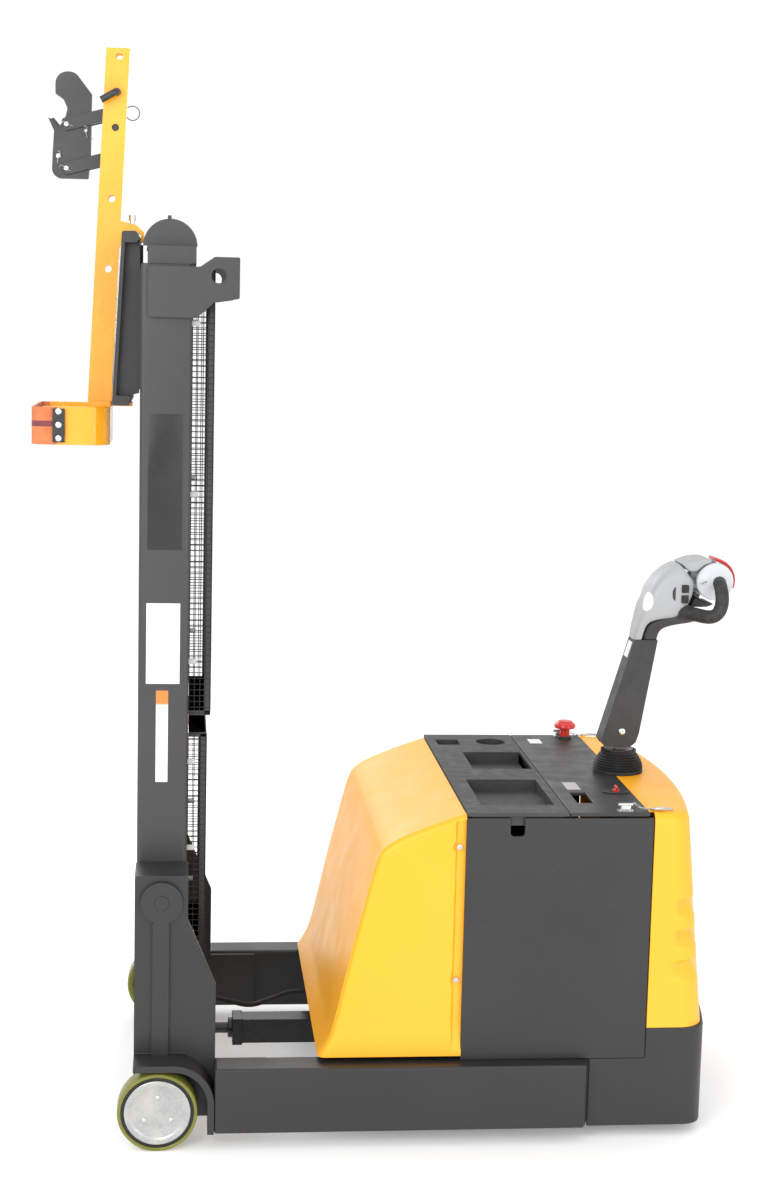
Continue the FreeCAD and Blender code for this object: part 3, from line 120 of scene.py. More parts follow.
def set_stage():
    """Wide pale floor under an even white sky, with four soft boxes."""
    world = bpy.data.worlds.new("Studio")
    world.use_nodes = True
    ground = world.node_tree.nodes["Background"]
    ground.inputs["Color"].default_value = (1.0, 1.0, 1.0, 1)
    ground.inputs["Strength"].default_value = 1.02
    bpy.context.scene.world = world
    bpy.context.scene.view_settings.view_transform = "Standard"
    mesh = bpy.data.meshes.new("Floor")
    reach = 14
    corners = [(-reach, -reach, 0), (reach, -reach, 0), (reach, reach, 0), (-reach, reach, 0)]
    mesh.from_pydata(corners, [], [(0, 1, 2, 3)])
    floor = bpy.data.objects.new("Floor", mesh)
    bpy.context.scene.collection.objects.link(floor)
    paint = bpy.data.materials.new("FloorPaint")
    paint.use_nodes = True
    shader = paint.node_tree.nodes["Principled BSDF"]
    shader.inputs["Base Color"].default_value = (0.86, 0.86, 0.86, 1)
    shader.inputs["Roughness"].default_value = 0.7
    shader.inputs["Emission Color"].default_value = (1, 1, 1, 1)
    shader.inputs["Emission Strength"].default_value = 0.22
    mesh.materials.append(paint)
    middle = (0, 0, 1.0)
    area_light("KeyBox", (-2.2, -4.2, 2.6), middle, (2.4, 2.4), 100)
    area_light("FillBox", (2.6, -4.4, 1.6), middle, (2.6, 2.6), 50)
    area_light("TopBox", (0.3, 0.4, 4.6), middle, (3.0, 3.0), 12)
    area_light("BackBox", (-1.5, 3.8, 2.8), middle, (2.6, 2.6), 40)


# ------------------------------------------------------------------------------- materials
class Finish:
    """A node material in the making: one Principled shader and the patterns that feed it."""

    def __init__(self, name, colour, rough, metal=0.0, **sockets):
        self.material = bpy.data.materials.new(name)
        self.material.use_nodes = True
        self.tree = self.material.node_tree
        self.shader = self.tree.nodes["Principled BSDF"]
        self.place = self.tree.nodes.new("ShaderNodeTexCoord").outputs["Object"]
        self.colour = colour
        self.bump = None
        self.shader.inputs["Base Color"].default_value = (*colour, 1)
        self.shader.inputs["Roughness"].default_value = rough
        self.shader.inputs["Metallic"].default_value = metal
        self.rough = rough
        for socket, amount in sockets.items():
            self.shader.inputs[socket.replace("_", " ")].default_value = amount

    def mapped(self, stretch):
        """Object coordinates, stretched along the axes."""
        node = self.tree.nodes.new("ShaderNodeMapping")
        node.inputs["Scale"].default_value = stretch
        self.tree.links.new(self.place, node.inputs["Vector"])
        return node.outputs["Vector"]

    def noise(self, scale, detail=3.0, roughness=0.5, stretch=None):
        """A fractal pattern, as a value from 0 to 1."""
        node = self.tree.nodes.new("ShaderNodeTexNoise")
        node.inputs["Scale"].default_value = scale
        node.inputs["Detail"].default_value = detail
        node.inputs["Roughness"].default_value = roughness
        self.tree.links.new(self.mapped(stretch) if stretch else self.place, node.inputs["Vector"])
        return node.outputs["Fac"]

    def cells(self, scale, feature="F1", stretch=None):
        """Distance to the nearest of many scattered points."""
        node = self.tree.nodes.new("ShaderNodeTexVoronoi")
        node.feature = feature
        node.inputs["Scale"].default_value = scale
        self.tree.links.new(self.mapped(stretch) if stretch else self.place, node.inputs["Vector"])
        return node.outputs["Distance"]

    def span(self, value, low, high, to_low=0.0, to_high=1.0):
        """The value, spread from one range to another and clamped."""
        node = self.tree.nodes.new("ShaderNodeMapRange")
        for socket, amount in zip(("From Min", "From Max", "To Min", "To Max"),
                                  (low, high, to_low, to_high)):
            node.inputs[socket].default_value = amount
        self.tree.links.new(value, node.inputs["Value"])
        return node.outputs["Result"]

    def tint(self, share, other, blend="MIX"):
        """Mixes another colour into the base colour where share is high."""
        node = self.tree.nodes.new("ShaderNodeMix")
        node.data_type = "RGBA"
        node.blend_type = blend
        socket = self.shader.inputs["Base Color"]
        if socket.links:
            self.tree.links.new(socket.links[0].from_socket, node.inputs[6])
        else:
            node.inputs[6].default_value = (*self.colour, 1)
        node.inputs[7].default_value = (*other, 1)
        self.tree.links.new(share, node.inputs[0])
        self.tree.links.new(node.outputs[2], socket)
        return self

    def roughen(self, value, low, high):
        """Roughness that runs from low to high with the value."""
        self.tree.links.new(self.span(value, 0.3, 0.7, low, high), self.shader.inputs["Roughness"])
        return self

    def relief(self, value, strength, depth):
        """Bumps as deep as depth metres, stacked on those already there."""
        node = self.tree.nodes.new("ShaderNodeBump")
        node.inputs["Strength"].default_value = strength
        node.inputs["Distance"].default_value = depth
        self.tree.links.new(value, node.inputs["Height"])
        if self.bump:
            self.tree.links.new(self.bump, node.inputs["Normal"])
        self.bump = node.outputs["Normal"]
        self.tree.links.new(self.bump, self.shader.inputs["Normal"])
        return self


def charcoal_paint(name="CharcoalPaint", tone=0.019):
    """Satin dark grey enamel over plate, with a fine orange peel and dust."""
    f = Finish(name, (tone, tone, tone * 1.06), 0.40, Specular_IOR_Level=0.5)
    f.tint(f.span(f.noise(3.0, 4), 0.35, 0.75), (tone * 1.25,) * 3)
    f.tint(f.span(f.noise(60.0, 5, 0.7), 0.62, 0.78), (tone * 1.8,) * 3)
    f.roughen(f.noise(9.0, 4), 0.36, 0.50)
    f.relief(f.noise(420.0, 2), 0.12, 0.0004)
    f.relief(f.noise(30.0, 3), 0.10, 0.002)
    return f.material


def yellow_plastic():
    """Moulded cover with a fine leather grain, slightly uneven in tone."""
    f = Finish("YellowMoulding", (1.0, 0.43, 0.012), 0.42, Specular_IOR_Level=0.5)
    f.tint(f.span(f.noise(2.2, 3), 0.35, 0.7), (1.0, 0.46, 0.02))
    f.tint(f.span(f.noise(90.0, 4, 0.7), 0.62, 0.8), (0.93, 0.37, 0.012))
    f.roughen(f.noise(14.0, 4), 0.34, 0.46)
    f.relief(f.cells(330.0, "SMOOTH_F1"), 0.22, 0.0006)
    f.relief(f.noise(55.0, 3), 0.12, 0.0012)
    return f.material


def yellow_enamel():
    """Thick gloss enamel with drips and peel over welded plate."""
    f = Finish("YellowEnamel", (0.95, 0.40, 0.008), 0.25, Coat_Weight=0.6, Coat_Roughness=0.12)
    f.tint(f.span(f.noise(5.0, 3), 0.35, 0.7), (0.98, 0.44, 0.015))
    f.tint(f.span(f.noise(160.0, 5, 0.7), 0.66, 0.8), (0.55, 0.24, 0.01))
    f.roughen(f.noise(22.0, 4), 0.20, 0.36)
    f.relief(f.noise(130.0, 3), 0.30, 0.0010)
    f.relief(f.noise(26.0, 2), 0.20, 0.0030)
    return f.material


def grained_black(name="GrainedBlack", tone=0.022):
    """Coarse pebble-grained black moulding."""
    f = Finish(name, (tone, tone, tone * 1.04), 0.55, Specular_IOR_Level=0.45)
    f.tint(f.span(f.noise(6.0, 4), 0.4, 0.7), (tone * 1.5,) * 3)
    f.roughen(f.noise(40.0, 4), 0.46, 0.66)
    f.relief(f.cells(420.0), 0.55, 0.0009)
    f.relief(f.noise(900.0, 2), 0.2, 0.0004)
    return f.material


def satin_black(name="SatinBlack", tone=0.018, rough=0.34):
    """Smooth black paint with a little wear."""
    f = Finish(name, (tone, tone, tone * 1.05), rough, Specular_IOR_Level=0.5)
    f.tint(f.span(f.noise(8.0, 4), 0.4, 0.75), (tone * 1.6,) * 3)
    f.tint(f.span(f.noise(140.0, 5, 0.7), 0.68, 0.8), (0.07, 0.068, 0.065))
    f.roughen(f.noise(18.0, 4), rough - 0.06, rough + 0.10)
    f.relief(f.noise(300.0, 3), 0.14, 0.0005)
    return f.material


def bright_metal(name="BrightSteel", colour=(0.62, 0.62, 0.61), rough=0.24, stretch=(1, 1, 12)):
    """Turned or drawn steel with fine lines along one way."""
    f = Finish(name, colour, rough, 1.0)
    f.tint(f.span(f.noise(20.0, 4), 0.4, 0.7), tuple(0.82 * c for c in colour))
    f.roughen(f.noise(90.0, 3, stretch=stretch), rough - 0.06, rough + 0.12)
    f.relief(f.noise(500.0, 2, stretch=stretch), 0.08, 0.0003)
    return f.material


def zinc_plate():
    """Zinc plating with faint crystals and a matt bloom."""
    f = Finish("ZincPlate", (0.50, 0.51, 0.50), 0.36, 0.9)
    f.tint(f.span(f.cells(160.0), 0.1, 0.6), (0.42, 0.43, 0.44))
    f.tint(f.span(f.noise(18.0, 4), 0.45, 0.75), (0.58, 0.57, 0.50))
    f.roughen(f.noise(50.0, 4), 0.28, 0.46)
    f.relief(f.noise(240.0, 3), 0.14, 0.0005)
    return f.material


def urethane():
    """Cast olive-yellow polyurethane, waxy and slightly clear."""
    f = Finish("Urethane", (0.19, 0.19, 0.028), 0.30, Specular_IOR_Level=0.5, Subsurface_Weight=0.12)
    f.shader.inputs["Subsurface Radius"].default_value = (0.006, 0.006, 0.002)
    f.tint(f.span(f.noise(10.0, 4), 0.4, 0.7), (0.15, 0.15, 0.022))
    f.tint(f.span(f.noise(120.0, 4, 0.7), 0.62, 0.78), (0.09, 0.09, 0.035))
    f.roughen(f.noise(40.0, 4), 0.24, 0.44)
    f.relief(f.noise(150.0, 3), 0.16, 0.0006)
    return f.material


def soft_rubber(name="SoftRubber", tone=0.016):
    """Matt moulded rubber with chalky dust."""
    f = Finish(name, (tone, tone, tone), 0.62, Specular_IOR_Level=0.35)
    f.tint(f.span(f.noise(45.0, 5, 0.7), 0.5, 0.8), (tone * 2.6,) * 3)
    f.roughen(f.noise(30.0, 4), 0.52, 0.74)
    f.relief(f.noise(320.0, 3), 0.25, 0.0005)
    return f.material


def silver_moulding(name="SilverMoulding", colour=(0.38, 0.39, 0.40)):
    """Fine spark-textured grey plastic."""
    f = Finish(name, colour, 0.42, Specular_IOR_Level=0.5)
    f.tint(f.span(f.noise(7.0, 4), 0.4, 0.7), tuple(0.93 * c for c in colour))
    f.roughen(f.noise(30.0, 4), 0.34, 0.50)
    f.relief(f.noise(700.0, 2), 0.16, 0.0003)
    return f.material


def gloss_red():
    """Gloss red moulding."""
    f = Finish("GlossRed", (0.62, 0.022, 0.016), 0.28, Coat_Weight=0.25, Coat_Roughness=0.08)
    f.tint(f.span(f.noise(30.0, 4), 0.4, 0.7), (0.56, 0.010, 0.008))
    f.roughen(f.noise(60.0, 4), 0.20, 0.34)
    f.relief(f.noise(260.0, 2), 0.08, 0.0004)
    return f.material


def woven_belt():
    """Rubber-faced orange webbing with a darker band along its middle."""
    belt_middle = 1.521
    f = Finish("OrangeWebbing", (0.62, 0.20, 0.07), 0.62, Specular_IOR_Level=0.35, Sheen_Weight=0.15)
    f.tint(f.span(f.noise(26.0, 4), 0.35, 0.75), (0.50, 0.125, 0.045))
    height = f.tree.nodes.new("ShaderNodeSeparateXYZ")
    f.tree.links.new(f.place, height.inputs[0])
    off = f.tree.nodes.new("ShaderNodeMath")
    off.operation = "SUBTRACT"
    off.inputs[1].default_value = belt_middle
    f.tree.links.new(height.outputs["Z"], off.inputs[0])
    size = f.tree.nodes.new("ShaderNodeMath")
    size.operation = "ABSOLUTE"
    f.tree.links.new(off.outputs[0], size.inputs[0])
    f.tint(f.span(size.outputs[0], 0.0055, 0.0070, 1.0, 0.0), (0.20, 0.045, 0.055))
    f.roughen(f.noise(80.0, 4), 0.52, 0.72)
    f.relief(f.cells(900.0), 0.35, 0.0005)
    f.relief(f.noise(60.0, 3), 0.15, 0.0012)
    return f.material


def strip_print():
    """White strip with an orange band at its top."""
    band_foot, band_start = 0.925, 0.930
    f = Finish("StripSticker", (0.80, 0.79, 0.77), 0.35)
    height = f.tree.nodes.new("ShaderNodeSeparateXYZ")
    f.tree.links.new(f.place, height.inputs[0])
    f.tint(f.span(height.outputs["Z"], band_foot, band_start), (0.85, 0.22, 0.04))
    f.roughen(f.noise(40.0, 3), 0.30, 0.42)
    return f.material


def place_finishes():
    """One finish for each material slot of the model."""
    made = {
        # The mast's paint is the charcoal paint at a lighter tone (0.036): painted light for the brighter
        # light and reflections the mast catches.
        "frame_grey": charcoal_paint(), "mast_paint_lit": charcoal_paint("MastPaintLit", 0.036),
        "yellow_cover": yellow_plastic(), "yellow_steel": yellow_enamel(),
        "black_plastic": grained_black(tone=0.034), "battery_case": grained_black("BatteryCase", 0.028),
        "tiller_grey": grained_black("TillerGrey", 0.036),
        "panel_black": satin_black("PanelBlack", 0.020, 0.42),
        "beak_black": satin_black("BeakBlack", 0.020, 0.30),
        "cylinder_black": satin_black("CylinderBlack", 0.010, 0.22),
        "tilt_rod": satin_black("RodBlack", 0.03, 0.25),
        "sticker_black": satin_black("StickerBlack", 0.012, 0.30), "bright_steel": bright_metal(),
        "chain_steel": bright_metal("OiledSteel", (0.16, 0.155, 0.15), 0.38), "zinc_steel": zinc_plate(),
        "polyurethane": urethane(), "red_plastic": gloss_red(), "hose_rubber": soft_rubber(),
        "button_black": soft_rubber("KeyRubber", 0.022), "grip": soft_rubber("GripRubber", 0.030),
        "belt_orange": silver_moulding("BeltPlaceholder", (0.42, 0.10, 0.035)),
        "cradle_belt": woven_belt(), "head_grey": silver_moulding(),
        "dial": silver_moulding("DialSilver", (0.60, 0.62, 0.65)),
        "badge": silver_moulding("BadgeWhite", (0.80, 0.80, 0.78)),
        "sticker_white": silver_moulding("StickerWhite", (0.78, 0.78, 0.77)),
        "sticker_grey": silver_moulding("StickerGrey", (0.45, 0.42, 0.42)), "sticker_strip": strip_print(),
    }
    # The mast's parts take that lighter copy of the charcoal paint, which is painted light rather than a
    # different paint.
    for node in ("mast_upright_left", "mast_upright_right", "mast_head", "lug_plates", "mast_ties"):
        made[node] = made["mast_paint_lit"]
    for entry in frame["record"]["subparts"]:
        mesh = NODES[entry["node"]].data
        mesh.materials.clear()
        mesh.materials.append(made.get(entry["node"], made[entry["material_slot"]]))
    return made


# ---------------------------------------------------------------------------- mesh helpers
def skin(rings, closed=True, caps=True):
    """Mesh over rings of equally many points; caps fill the first and last ring."""
    mesh = bpy.data.meshes.new("Skin")
    count = len(rings[0])
    points = [tuple(p) for ring in rings for p in ring]
    faces = []
    for row in range(len(rings) - 1):
        for col in range(count if closed else count - 1):
            a, b = row * count + col, row * count + (col + 1) % count
            faces.append((a, b, b + count, a + count))
    if caps:
        faces.append(tuple(reversed(range(count))))
        faces.append(tuple(range((len(rings) - 1) * count, len(rings) * count)))
    mesh.from_pydata(points, [], faces)
    return tidy(mesh)


def tidy(mesh, merge=1e-6):
    """Merges doubles and turns the faces outwards."""
    work = bmesh.new()
    work.from_mesh(mesh)
    bmesh.ops.remove_doubles(work, verts=work.verts, dist=merge)
    bmesh.ops.recalc_face_normals(work, faces=work.faces)
    work.to_mesh(mesh)
    work.free()
    return mesh


def evaluated(mesh, kind, **settings):
    """The mesh as it comes out of one modifier with the given settings."""
    holder = bpy.data.objects.new("Holder", mesh)
    bpy.context.scene.collection.objects.link(holder)
    modifier = holder.modifiers.new("Change", kind)
    for name, amount in settings.items():
        setattr(modifier, name, amount)
    made = bpy.data.meshes.new_from_object(holder.evaluated_get(bpy.context.evaluated_depsgraph_get()))
    bpy.data.objects.remove(holder)
    return made


def joined(*meshes):
    """One mesh out of several."""
    work = bmesh.new()
    for mesh in meshes:
        work.from_mesh(mesh)
    whole = bpy.data.meshes.new("Joined")
    work.to_mesh(whole)
    work.free()
    return whole


def turned(profile, centre, axis, steps=48, caps=True):
    """Solid of revolution; the profile gives (along, radius) in metres from the centre."""
    axis = Vector(axis).normalized()
    side = axis.orthogonal().normalized()
    other = axis.cross(side)
    rings = []
    for along, radius in profile:
        ring = []
        for step in range(steps):
            angle = 2 * math.pi * step / steps
            spoke = side * math.cos(angle) + other * math.sin(angle)
            ring.append(centre + axis * along + spoke * max(radius, 1e-5))
        rings.append(ring)
    return skin(rings, caps=caps)


def rounded(outline, radius, steps=6):
    """The outline with its corners rounded, as a longer list of points."""
    points = [Vector(p) for p in outline]
    out = []
    for index, corner in enumerate(points):
        before, after = points[index - 1], points[(index + 1) % len(points)]
        reach = min(radius, 0.45 * (before - corner).length, 0.45 * (after - corner).length)
        start = corner + (before - corner).normalized() * reach
        end = corner + (after - corner).normalized() * reach
        for step in range(steps + 1):
            t = step / steps
            out.append(start * (1 - t) ** 2 + corner * 2 * t * (1 - t) + end * t ** 2)
    return out


def inset(outline, amount):
    """The closed plan outline moved inwards by the amount; the outline runs anticlockwise."""
    out = []
    for index, point in enumerate(outline):
        along = outline[(index + 1) % len(outline)] - outline[index - 1]
        if along.length < 1e-9:
            out.append(point.copy())
            continue
        out.append(point + Vector((-along.y, along.x)).normalized() * amount)
    return out


def area_sign(outline):
    """Positive when the outline runs anticlockwise."""
    return sum(a.x * b.y - b.x * a.y for a, b in zip(outline, outline[1:] + outline[:1]))


def pillow(outline, low, high, edge, plane="XZ", corner=0.004, steps=4):
    """A plate between low and high with rounded rims; plane names the outline's two axes."""
    shape = rounded(outline, corner)
    if area_sign(shape) < 0:
        shape.reverse()
    first = [(low + edge * (1 - math.cos(math.pi / 2 * k / steps)),
              edge * (1 - math.sin(math.pi / 2 * k / steps)))
             for k in range(steps + 1)]
    levels = first + [(high - (z - low), amount) for z, amount in reversed(first)]
    order = {"XZ": lambda u, v, w: Vector((u, w, v)), "XY": lambda u, v, w: Vector((u, v, w)),
             "YZ": lambda u, v, w: Vector((w, u, v))}[plane]
    rings = [[order(p.x, p.y, level) for p in inset(shape, amount)] for level, amount in levels]
    return skin(rings)


def box_xz(x0, x1, z0, z1):
    """Corners of an upright rectangle, in the XZ plane."""
    return [at(x0, 0, z0).xz, at(x1, 0, z0).xz, at(x1, 0, z1).xz, at(x0, 0, z1).xz]


def box_xy(x0, x1, y0, y1):
    """Corners of a level rectangle, in the XY plane."""
    return [at(x0, y0, 0).xy, at(x1, y0, 0).xy, at(x1, y1, 0).xy, at(x0, y1, 0).xy]


def tube(points, radius, sides=12, order=3, closed=False):
    """A round bar along a smooth curve through the points' control net."""
    curve = bpy.data.curves.new("Path", "CURVE")
    curve.dimensions = "3D"
    spline = curve.splines.new("NURBS")
    spline.points.add(len(points) - 1)
    for slot_point, place in zip(spline.points, points):
        slot_point.co = (*place, 1)
    spline.use_cyclic_u = closed
    spline.use_endpoint_u = not closed
    spline.order_u = order
    spline.resolution_u = 8
    curve.bevel_depth = radius
    curve.bevel_resolution = max(1, sides // 4 - 1)
    curve.use_fill_caps = not closed
    holder = bpy.data.objects.new("Path", curve)
    bpy.context.scene.collection.objects.link(holder)
    mesh = bpy.data.meshes.new_from_object(holder.evaluated_get(bpy.context.evaluated_depsgraph_get()))
    bpy.data.objects.remove(holder)
    return tidy(mesh)


def piece(name, mesh, body, slot, finish, *nodes, crease=35):
    """Puts a finished mesh in the scene, on its body and in place of the nodes it stands for."""
    mesh.name = name
    mesh.materials.clear()
    mesh.materials.append(finish)
    for face in mesh.polygons:
        face.use_smooth = True
        face.material_index = 0
    if crease:
        mesh.set_sharp_from_angle(angle=math.radians(crease))
    made = bpy.data.objects.new(name, mesh)
    bpy.context.scene.collection.objects.link(made)
    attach(made, body)
    if nodes:
        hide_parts(*nodes)
    return made


# --------------------------------------------------------------------------- geometry nodes
def add_node(tree, kind, **links):
    """Adds a node; each keyword names an input, given as a value or as a socket to link."""
    node = tree.nodes.new(kind)
    for name, source in links.items():
        socket = node.inputs[name.replace("_", " ")]
        if isinstance(source, bpy.types.NodeSocket):
            tree.links.new(source, socket)
        else:
            socket.default_value = source
    return node


def new_tree(name, **sizes):
    """A geometry tree with a geometry input and named inputs of the given socket types."""
    tree = bpy.data.node_groups.new(name, "GeometryNodeTree")
    tree.interface.new_socket("Geometry", in_out="INPUT", socket_type="NodeSocketGeometry")
    for size, kind in sizes.items():
        tree.interface.new_socket(size, in_out="INPUT", socket_type="NodeSocket" + kind)
    tree.interface.new_socket("Geometry", in_out="OUTPUT", socket_type="NodeSocketGeometry")
    return tree, tree.nodes.new("NodeGroupInput").outputs, tree.nodes.new("NodeGroupOutput").inputs


def copies_tree():
    """Copies a template onto points and turns each copy's Z towards the point's facing."""
    tree, given, result = new_tree("Copies", Template="Object", Size="Float", Finish="Material")
    source = add_node(tree, "GeometryNodeObjectInfo", Object=given["Template"])
    facing = tree.nodes.new("GeometryNodeInputNamedAttribute")
    facing.data_type = "FLOAT_VECTOR"
    facing.inputs["Name"].default_value = "facing"
    aim = add_node(tree, "FunctionNodeAlignEulerToVector", Vector=facing.outputs["Attribute"])
    aim.axis = "Z"
    placed = add_node(tree, "GeometryNodeInstanceOnPoints", Points=given["Geometry"],
                      Instance=source.outputs["Geometry"], Rotation=aim.outputs["Rotation"],
                      Scale=given["Size"])
    real = add_node(tree, "GeometryNodeRealizeInstances", Geometry=placed.outputs["Instances"])
    painted = add_node(tree, "GeometryNodeSetMaterial", Geometry=real.outputs["Geometry"],
                       Material=given["Finish"])
    tree.links.new(painted.outputs["Geometry"], result["Geometry"])
    return tree


def mesh_tree():
    """Welded wire mesh over a flat rectangle."""
    tree, given, result = new_tree("WireMesh", Width="Float", Height="Float", Columns="Int", Rows="Int",
                                   Wire="Float", Finish="Material")
    grid = add_node(tree, "GeometryNodeMeshGrid", Size_X=given["Width"], Size_Y=given["Height"],
                    Vertices_X=given["Columns"], Vertices_Y=given["Rows"])
    lines = add_node(tree, "GeometryNodeMeshToCurve", Mesh=grid.outputs["Mesh"])
    ring = add_node(tree, "GeometryNodeCurvePrimitiveCircle", Resolution=4, Radius=given["Wire"])
    wires = add_node(tree, "GeometryNodeCurveToMesh", Curve=lines.outputs["Curve"],
                     Profile_Curve=ring.outputs["Curve"])
    real = add_node(tree, "GeometryNodeRealizeInstances", Geometry=wires.outputs["Mesh"])
    painted = add_node(tree, "GeometryNodeSetMaterial", Geometry=real.outputs["Geometry"],
                       Material=given["Finish"])
    tree.links.new(painted.outputs["Geometry"], result["Geometry"])
    return tree


def grown(tree, mesh, **sizes):
    """What a geometry tree makes of a mesh, as a plain mesh."""
    holder = bpy.data.objects.new("Grown", mesh)
    bpy.context.scene.collection.objects.link(holder)
    modifier = holder.modifiers.new("Grow", "NODES")
    modifier.node_group = tree
    for item in tree.interface.items_tree:
        if item.in_out == "INPUT" and item.name in sizes:
            modifier[item.identifier] = sizes[item.name]
    bpy.context.view_layer.update()
    made = bpy.data.meshes.new_from_object(holder.evaluated_get(bpy.context.evaluated_depsgraph_get()))
    holder.modifiers.clear()
    bpy.data.objects.remove(holder)
    return made


def copies(template, places, finish, size=1.0):
    """The template mesh at each (point, facing)."""
    holder = bpy.data.objects.new("Template", template)
    bpy.context.scene.collection.objects.link(holder)
    points = bpy.data.meshes.new("Places")
    points.from_pydata([tuple(p) for p, _ in places], [], [])
    facing = points.attributes.new("facing", "FLOAT_VECTOR", "POINT")
    facing.data.foreach_set("vector", [c for _, f in places for c in f])
    made = grown(TREES["copies"], points, Template=holder, Size=size, Finish=finish)
    bpy.data.objects.remove(holder)
    return made


# ------------------------------------------------------------------------------- templates
def socket_screw(radius, height):
    """Cap screw that stands on Z = 0 with a six-sided socket in its head."""
    turns = [a * math.pi / 9 for a in range(18)]
    rings = []
    for z, r in ((0, radius), (height * 0.85, radius), (height, radius * 0.88), (height, radius * 0.52)):
        rings.append([Vector((r * math.cos(turn), r * math.sin(turn), z)) for turn in turns])
    for z, r in ((height, 0.50), (height * 0.35, 0.50), (height * 0.30, 0.0005)):
        ring = []
        for turn in turns:
            flat = math.cos(math.pi / 6) / math.cos((turn % (math.pi / 3)) - math.pi / 6)
            ring.append(Vector((r * radius * flat * math.cos(turn), r * radius * flat * math.sin(turn), z)))
        rings.append(ring)
    return skin(rings)


def dome_rivet(radius, height):
    """Low round head that stands on Z = 0."""
    profile = [(0, radius)] + [(height * math.sin(k * 0.3927),
                                radius * math.cos(k * 0.3927)) for k in range(1, 5)]
    return turned(profile, ORIGIN, UP, 16)


# ---------------------------------------------------------------------------------- pieces
def cover_profile():
    """Side line of the front cover from its kicked-out foot to the tray, densely sampled."""
    line = [(341, 189), (358, 216), (371, 243), (394, 346), (417, 450), (441, 546), (463, 634), (486, 656),
            (513, 671), (563, 692), (613, 710), (649, 722)]
    points = [Vector(p) for p in line]
    for _ in range(3):
        finer = [points[0]]
        for a, b in zip(points, points[1:]):
            finer += [a.lerp(b, 0.25), a.lerp(b, 0.75)]
        points = finer + [points[-1]]
    return points


def front_cover():
    """Moulded front cover: a sloping face, rounded rims, and side panels with a screw flange."""
    profile = cover_profile()
    half, rim, rear = COVER_HALF, 15, 650

    def face_y(x, z, depth):
        """Distance of the side's surface from the middle plane, with depth the way in from the rim."""
        inward = max(0.0, rim - depth)
        y = half - rim + math.sqrt(max(rim * rim - inward * inward, 0))
        swell = min(1, max(0, (z - 222) / 44))
        y -= 5 * swell * swell * (3 - 2 * swell)
        step = min(1, max(0, (x - 627) / 4))
        for sx, sz in COVER_SCREWS:
            step = max(step, min(1, max(0, (14 - math.hypot(x - sx, z - sz)) / 3)))
        top = min(1, max(0, (712 - z) / 10))
        foot = min(1, max(0, (z - 200) / 30))
        return y - 6 * step * step * (3 - 2 * step) * top * foot

    columns = 90
    sides = []
    for sign in (-1, 1):
        rows = []
        for index, point in enumerate(profile):
            along = profile[min(index + 1, len(profile) - 1)] - profile[max(index - 1, 0)]
            lean = abs(along.y) / along.length
            row = []
            for column in range(columns + 1):
                x = point.x + (rear - point.x) * column / columns
                row.append(at(x, sign * face_y(x, point.y, (x - point.x) * lean), point.y))
            rows.append(row)
        sides.append(skin(rows, closed=False, caps=False))
    rows = []
    for point in profile:
        rows.append([at(point.x, -(half - rim) + 2 * (half - rim) * k / 24, point.y) for k in range(25)])
    return tidy(joined(*sides, skin(rows, closed=False, caps=False)), 2e-5)


def rear_outline(z, amount=0.0):
    """Plan outline of the rear end at a height, from the left side round to the right."""
    share = (z - SKIRT_Z) / (DECK_Z - SKIRT_Z)
    corner = 1183 - 46 * max(share, 0)
    bow = 50 - 12 * max(share, 0)
    half, turn = COVER_HALF, 52
    points = []
    for k in range(5):
        points.append(Vector((REAR_X + (corner - turn - REAR_X) * k / 4, -half)))
    for k in range(1, 13):
        angle = math.pi / 2 * k / 12
        points.append(Vector((corner - turn + turn * math.sin(angle) * 1.08,
                              -half + turn * (1 - math.cos(angle)))))
    start = points[-1]
    for k in range(1, 40):
        y = start.y * (1 - k / 20)
        points.append(Vector((start.x + bow * (1 - (y / start.y) ** 2), y)))
    points += [Vector((p.x, -p.y)) for p in reversed(points[:17])]
    out = []
    for index, point in enumerate(points):
        along = points[min(index + 1, len(points) - 1)] - points[max(index - 1, 0)]
        out.append(point + Vector((-along.y, along.x)).normalized() * amount)
    return out


def grip_depth(x, y, z):
    """How far the finger grooves at the rear corners sink into the cover."""
    depth = 0.0
    if abs(y) < 300:
        return depth
    for top, foot in ((533, 490), (466, 424), (396, 352)):
        if foot < z < top:
            along = (top - z) / (top - foot)
            across = min(1, max(0, (x - 1112) / 16)) * min(1, max(0, (abs(y) - 300) / 30))
            depth = max(depth, 15 * math.sin(math.pi * along ** 0.5) * across)
    return depth


def rear_cover():
    """Moulded rear cover: a bowed wall with finger grooves, a rounded rim and the deck."""
    rim = 22
    levels = [(SKIRT_Z + (DECK_Z - rim - SKIRT_Z) * k / 130, 0.0) for k in range(131)]
    for k in range(1, 9):
        angle = math.pi / 2 * k / 8
        levels.append((DECK_Z - rim + rim * math.sin(angle), rim * (1 - math.cos(angle))))
    rings = []
    for z, amount in levels:
        ring = []
        for point in rear_outline(z, amount):
            away = Vector((max(point.x - REAR_X, 0), point.y)).normalized()
            place = point - away * grip_depth(point.x, point.y, z)
            ring.append(at(place.x, place.y, z))
        rings.append(ring)
    rim_ring, deck_front = rings[-1], AXLE_X + 1.0455
    for share in (0.5, 1.0):
        rings.append([Vector((p.x + (deck_front - p.x) * share, p.y, p.z)) for p in rim_ring])
    return skin(rings, closed=False, caps=False)


def thick(mesh, wall):
    """The open sheet given a wall on its inner side."""
    return evaluated(mesh, "SOLIDIFY", thickness=wall, offset=-1)


def outward(mesh, centre):
    """Turns an open sheet so that its faces look away from the centre."""
    work = bmesh.new()
    work.from_mesh(mesh)
    bmesh.ops.recalc_face_normals(work, faces=work.faces)
    work.faces.ensure_lookup_table()
    total = sum((f.calc_center_median() - centre).dot(f.normal) * f.calc_area() for f in work.faces)
    if total < 0:
        bmesh.ops.reverse_faces(work, faces=work.faces)
    work.to_mesh(mesh)
    work.free()
    return mesh


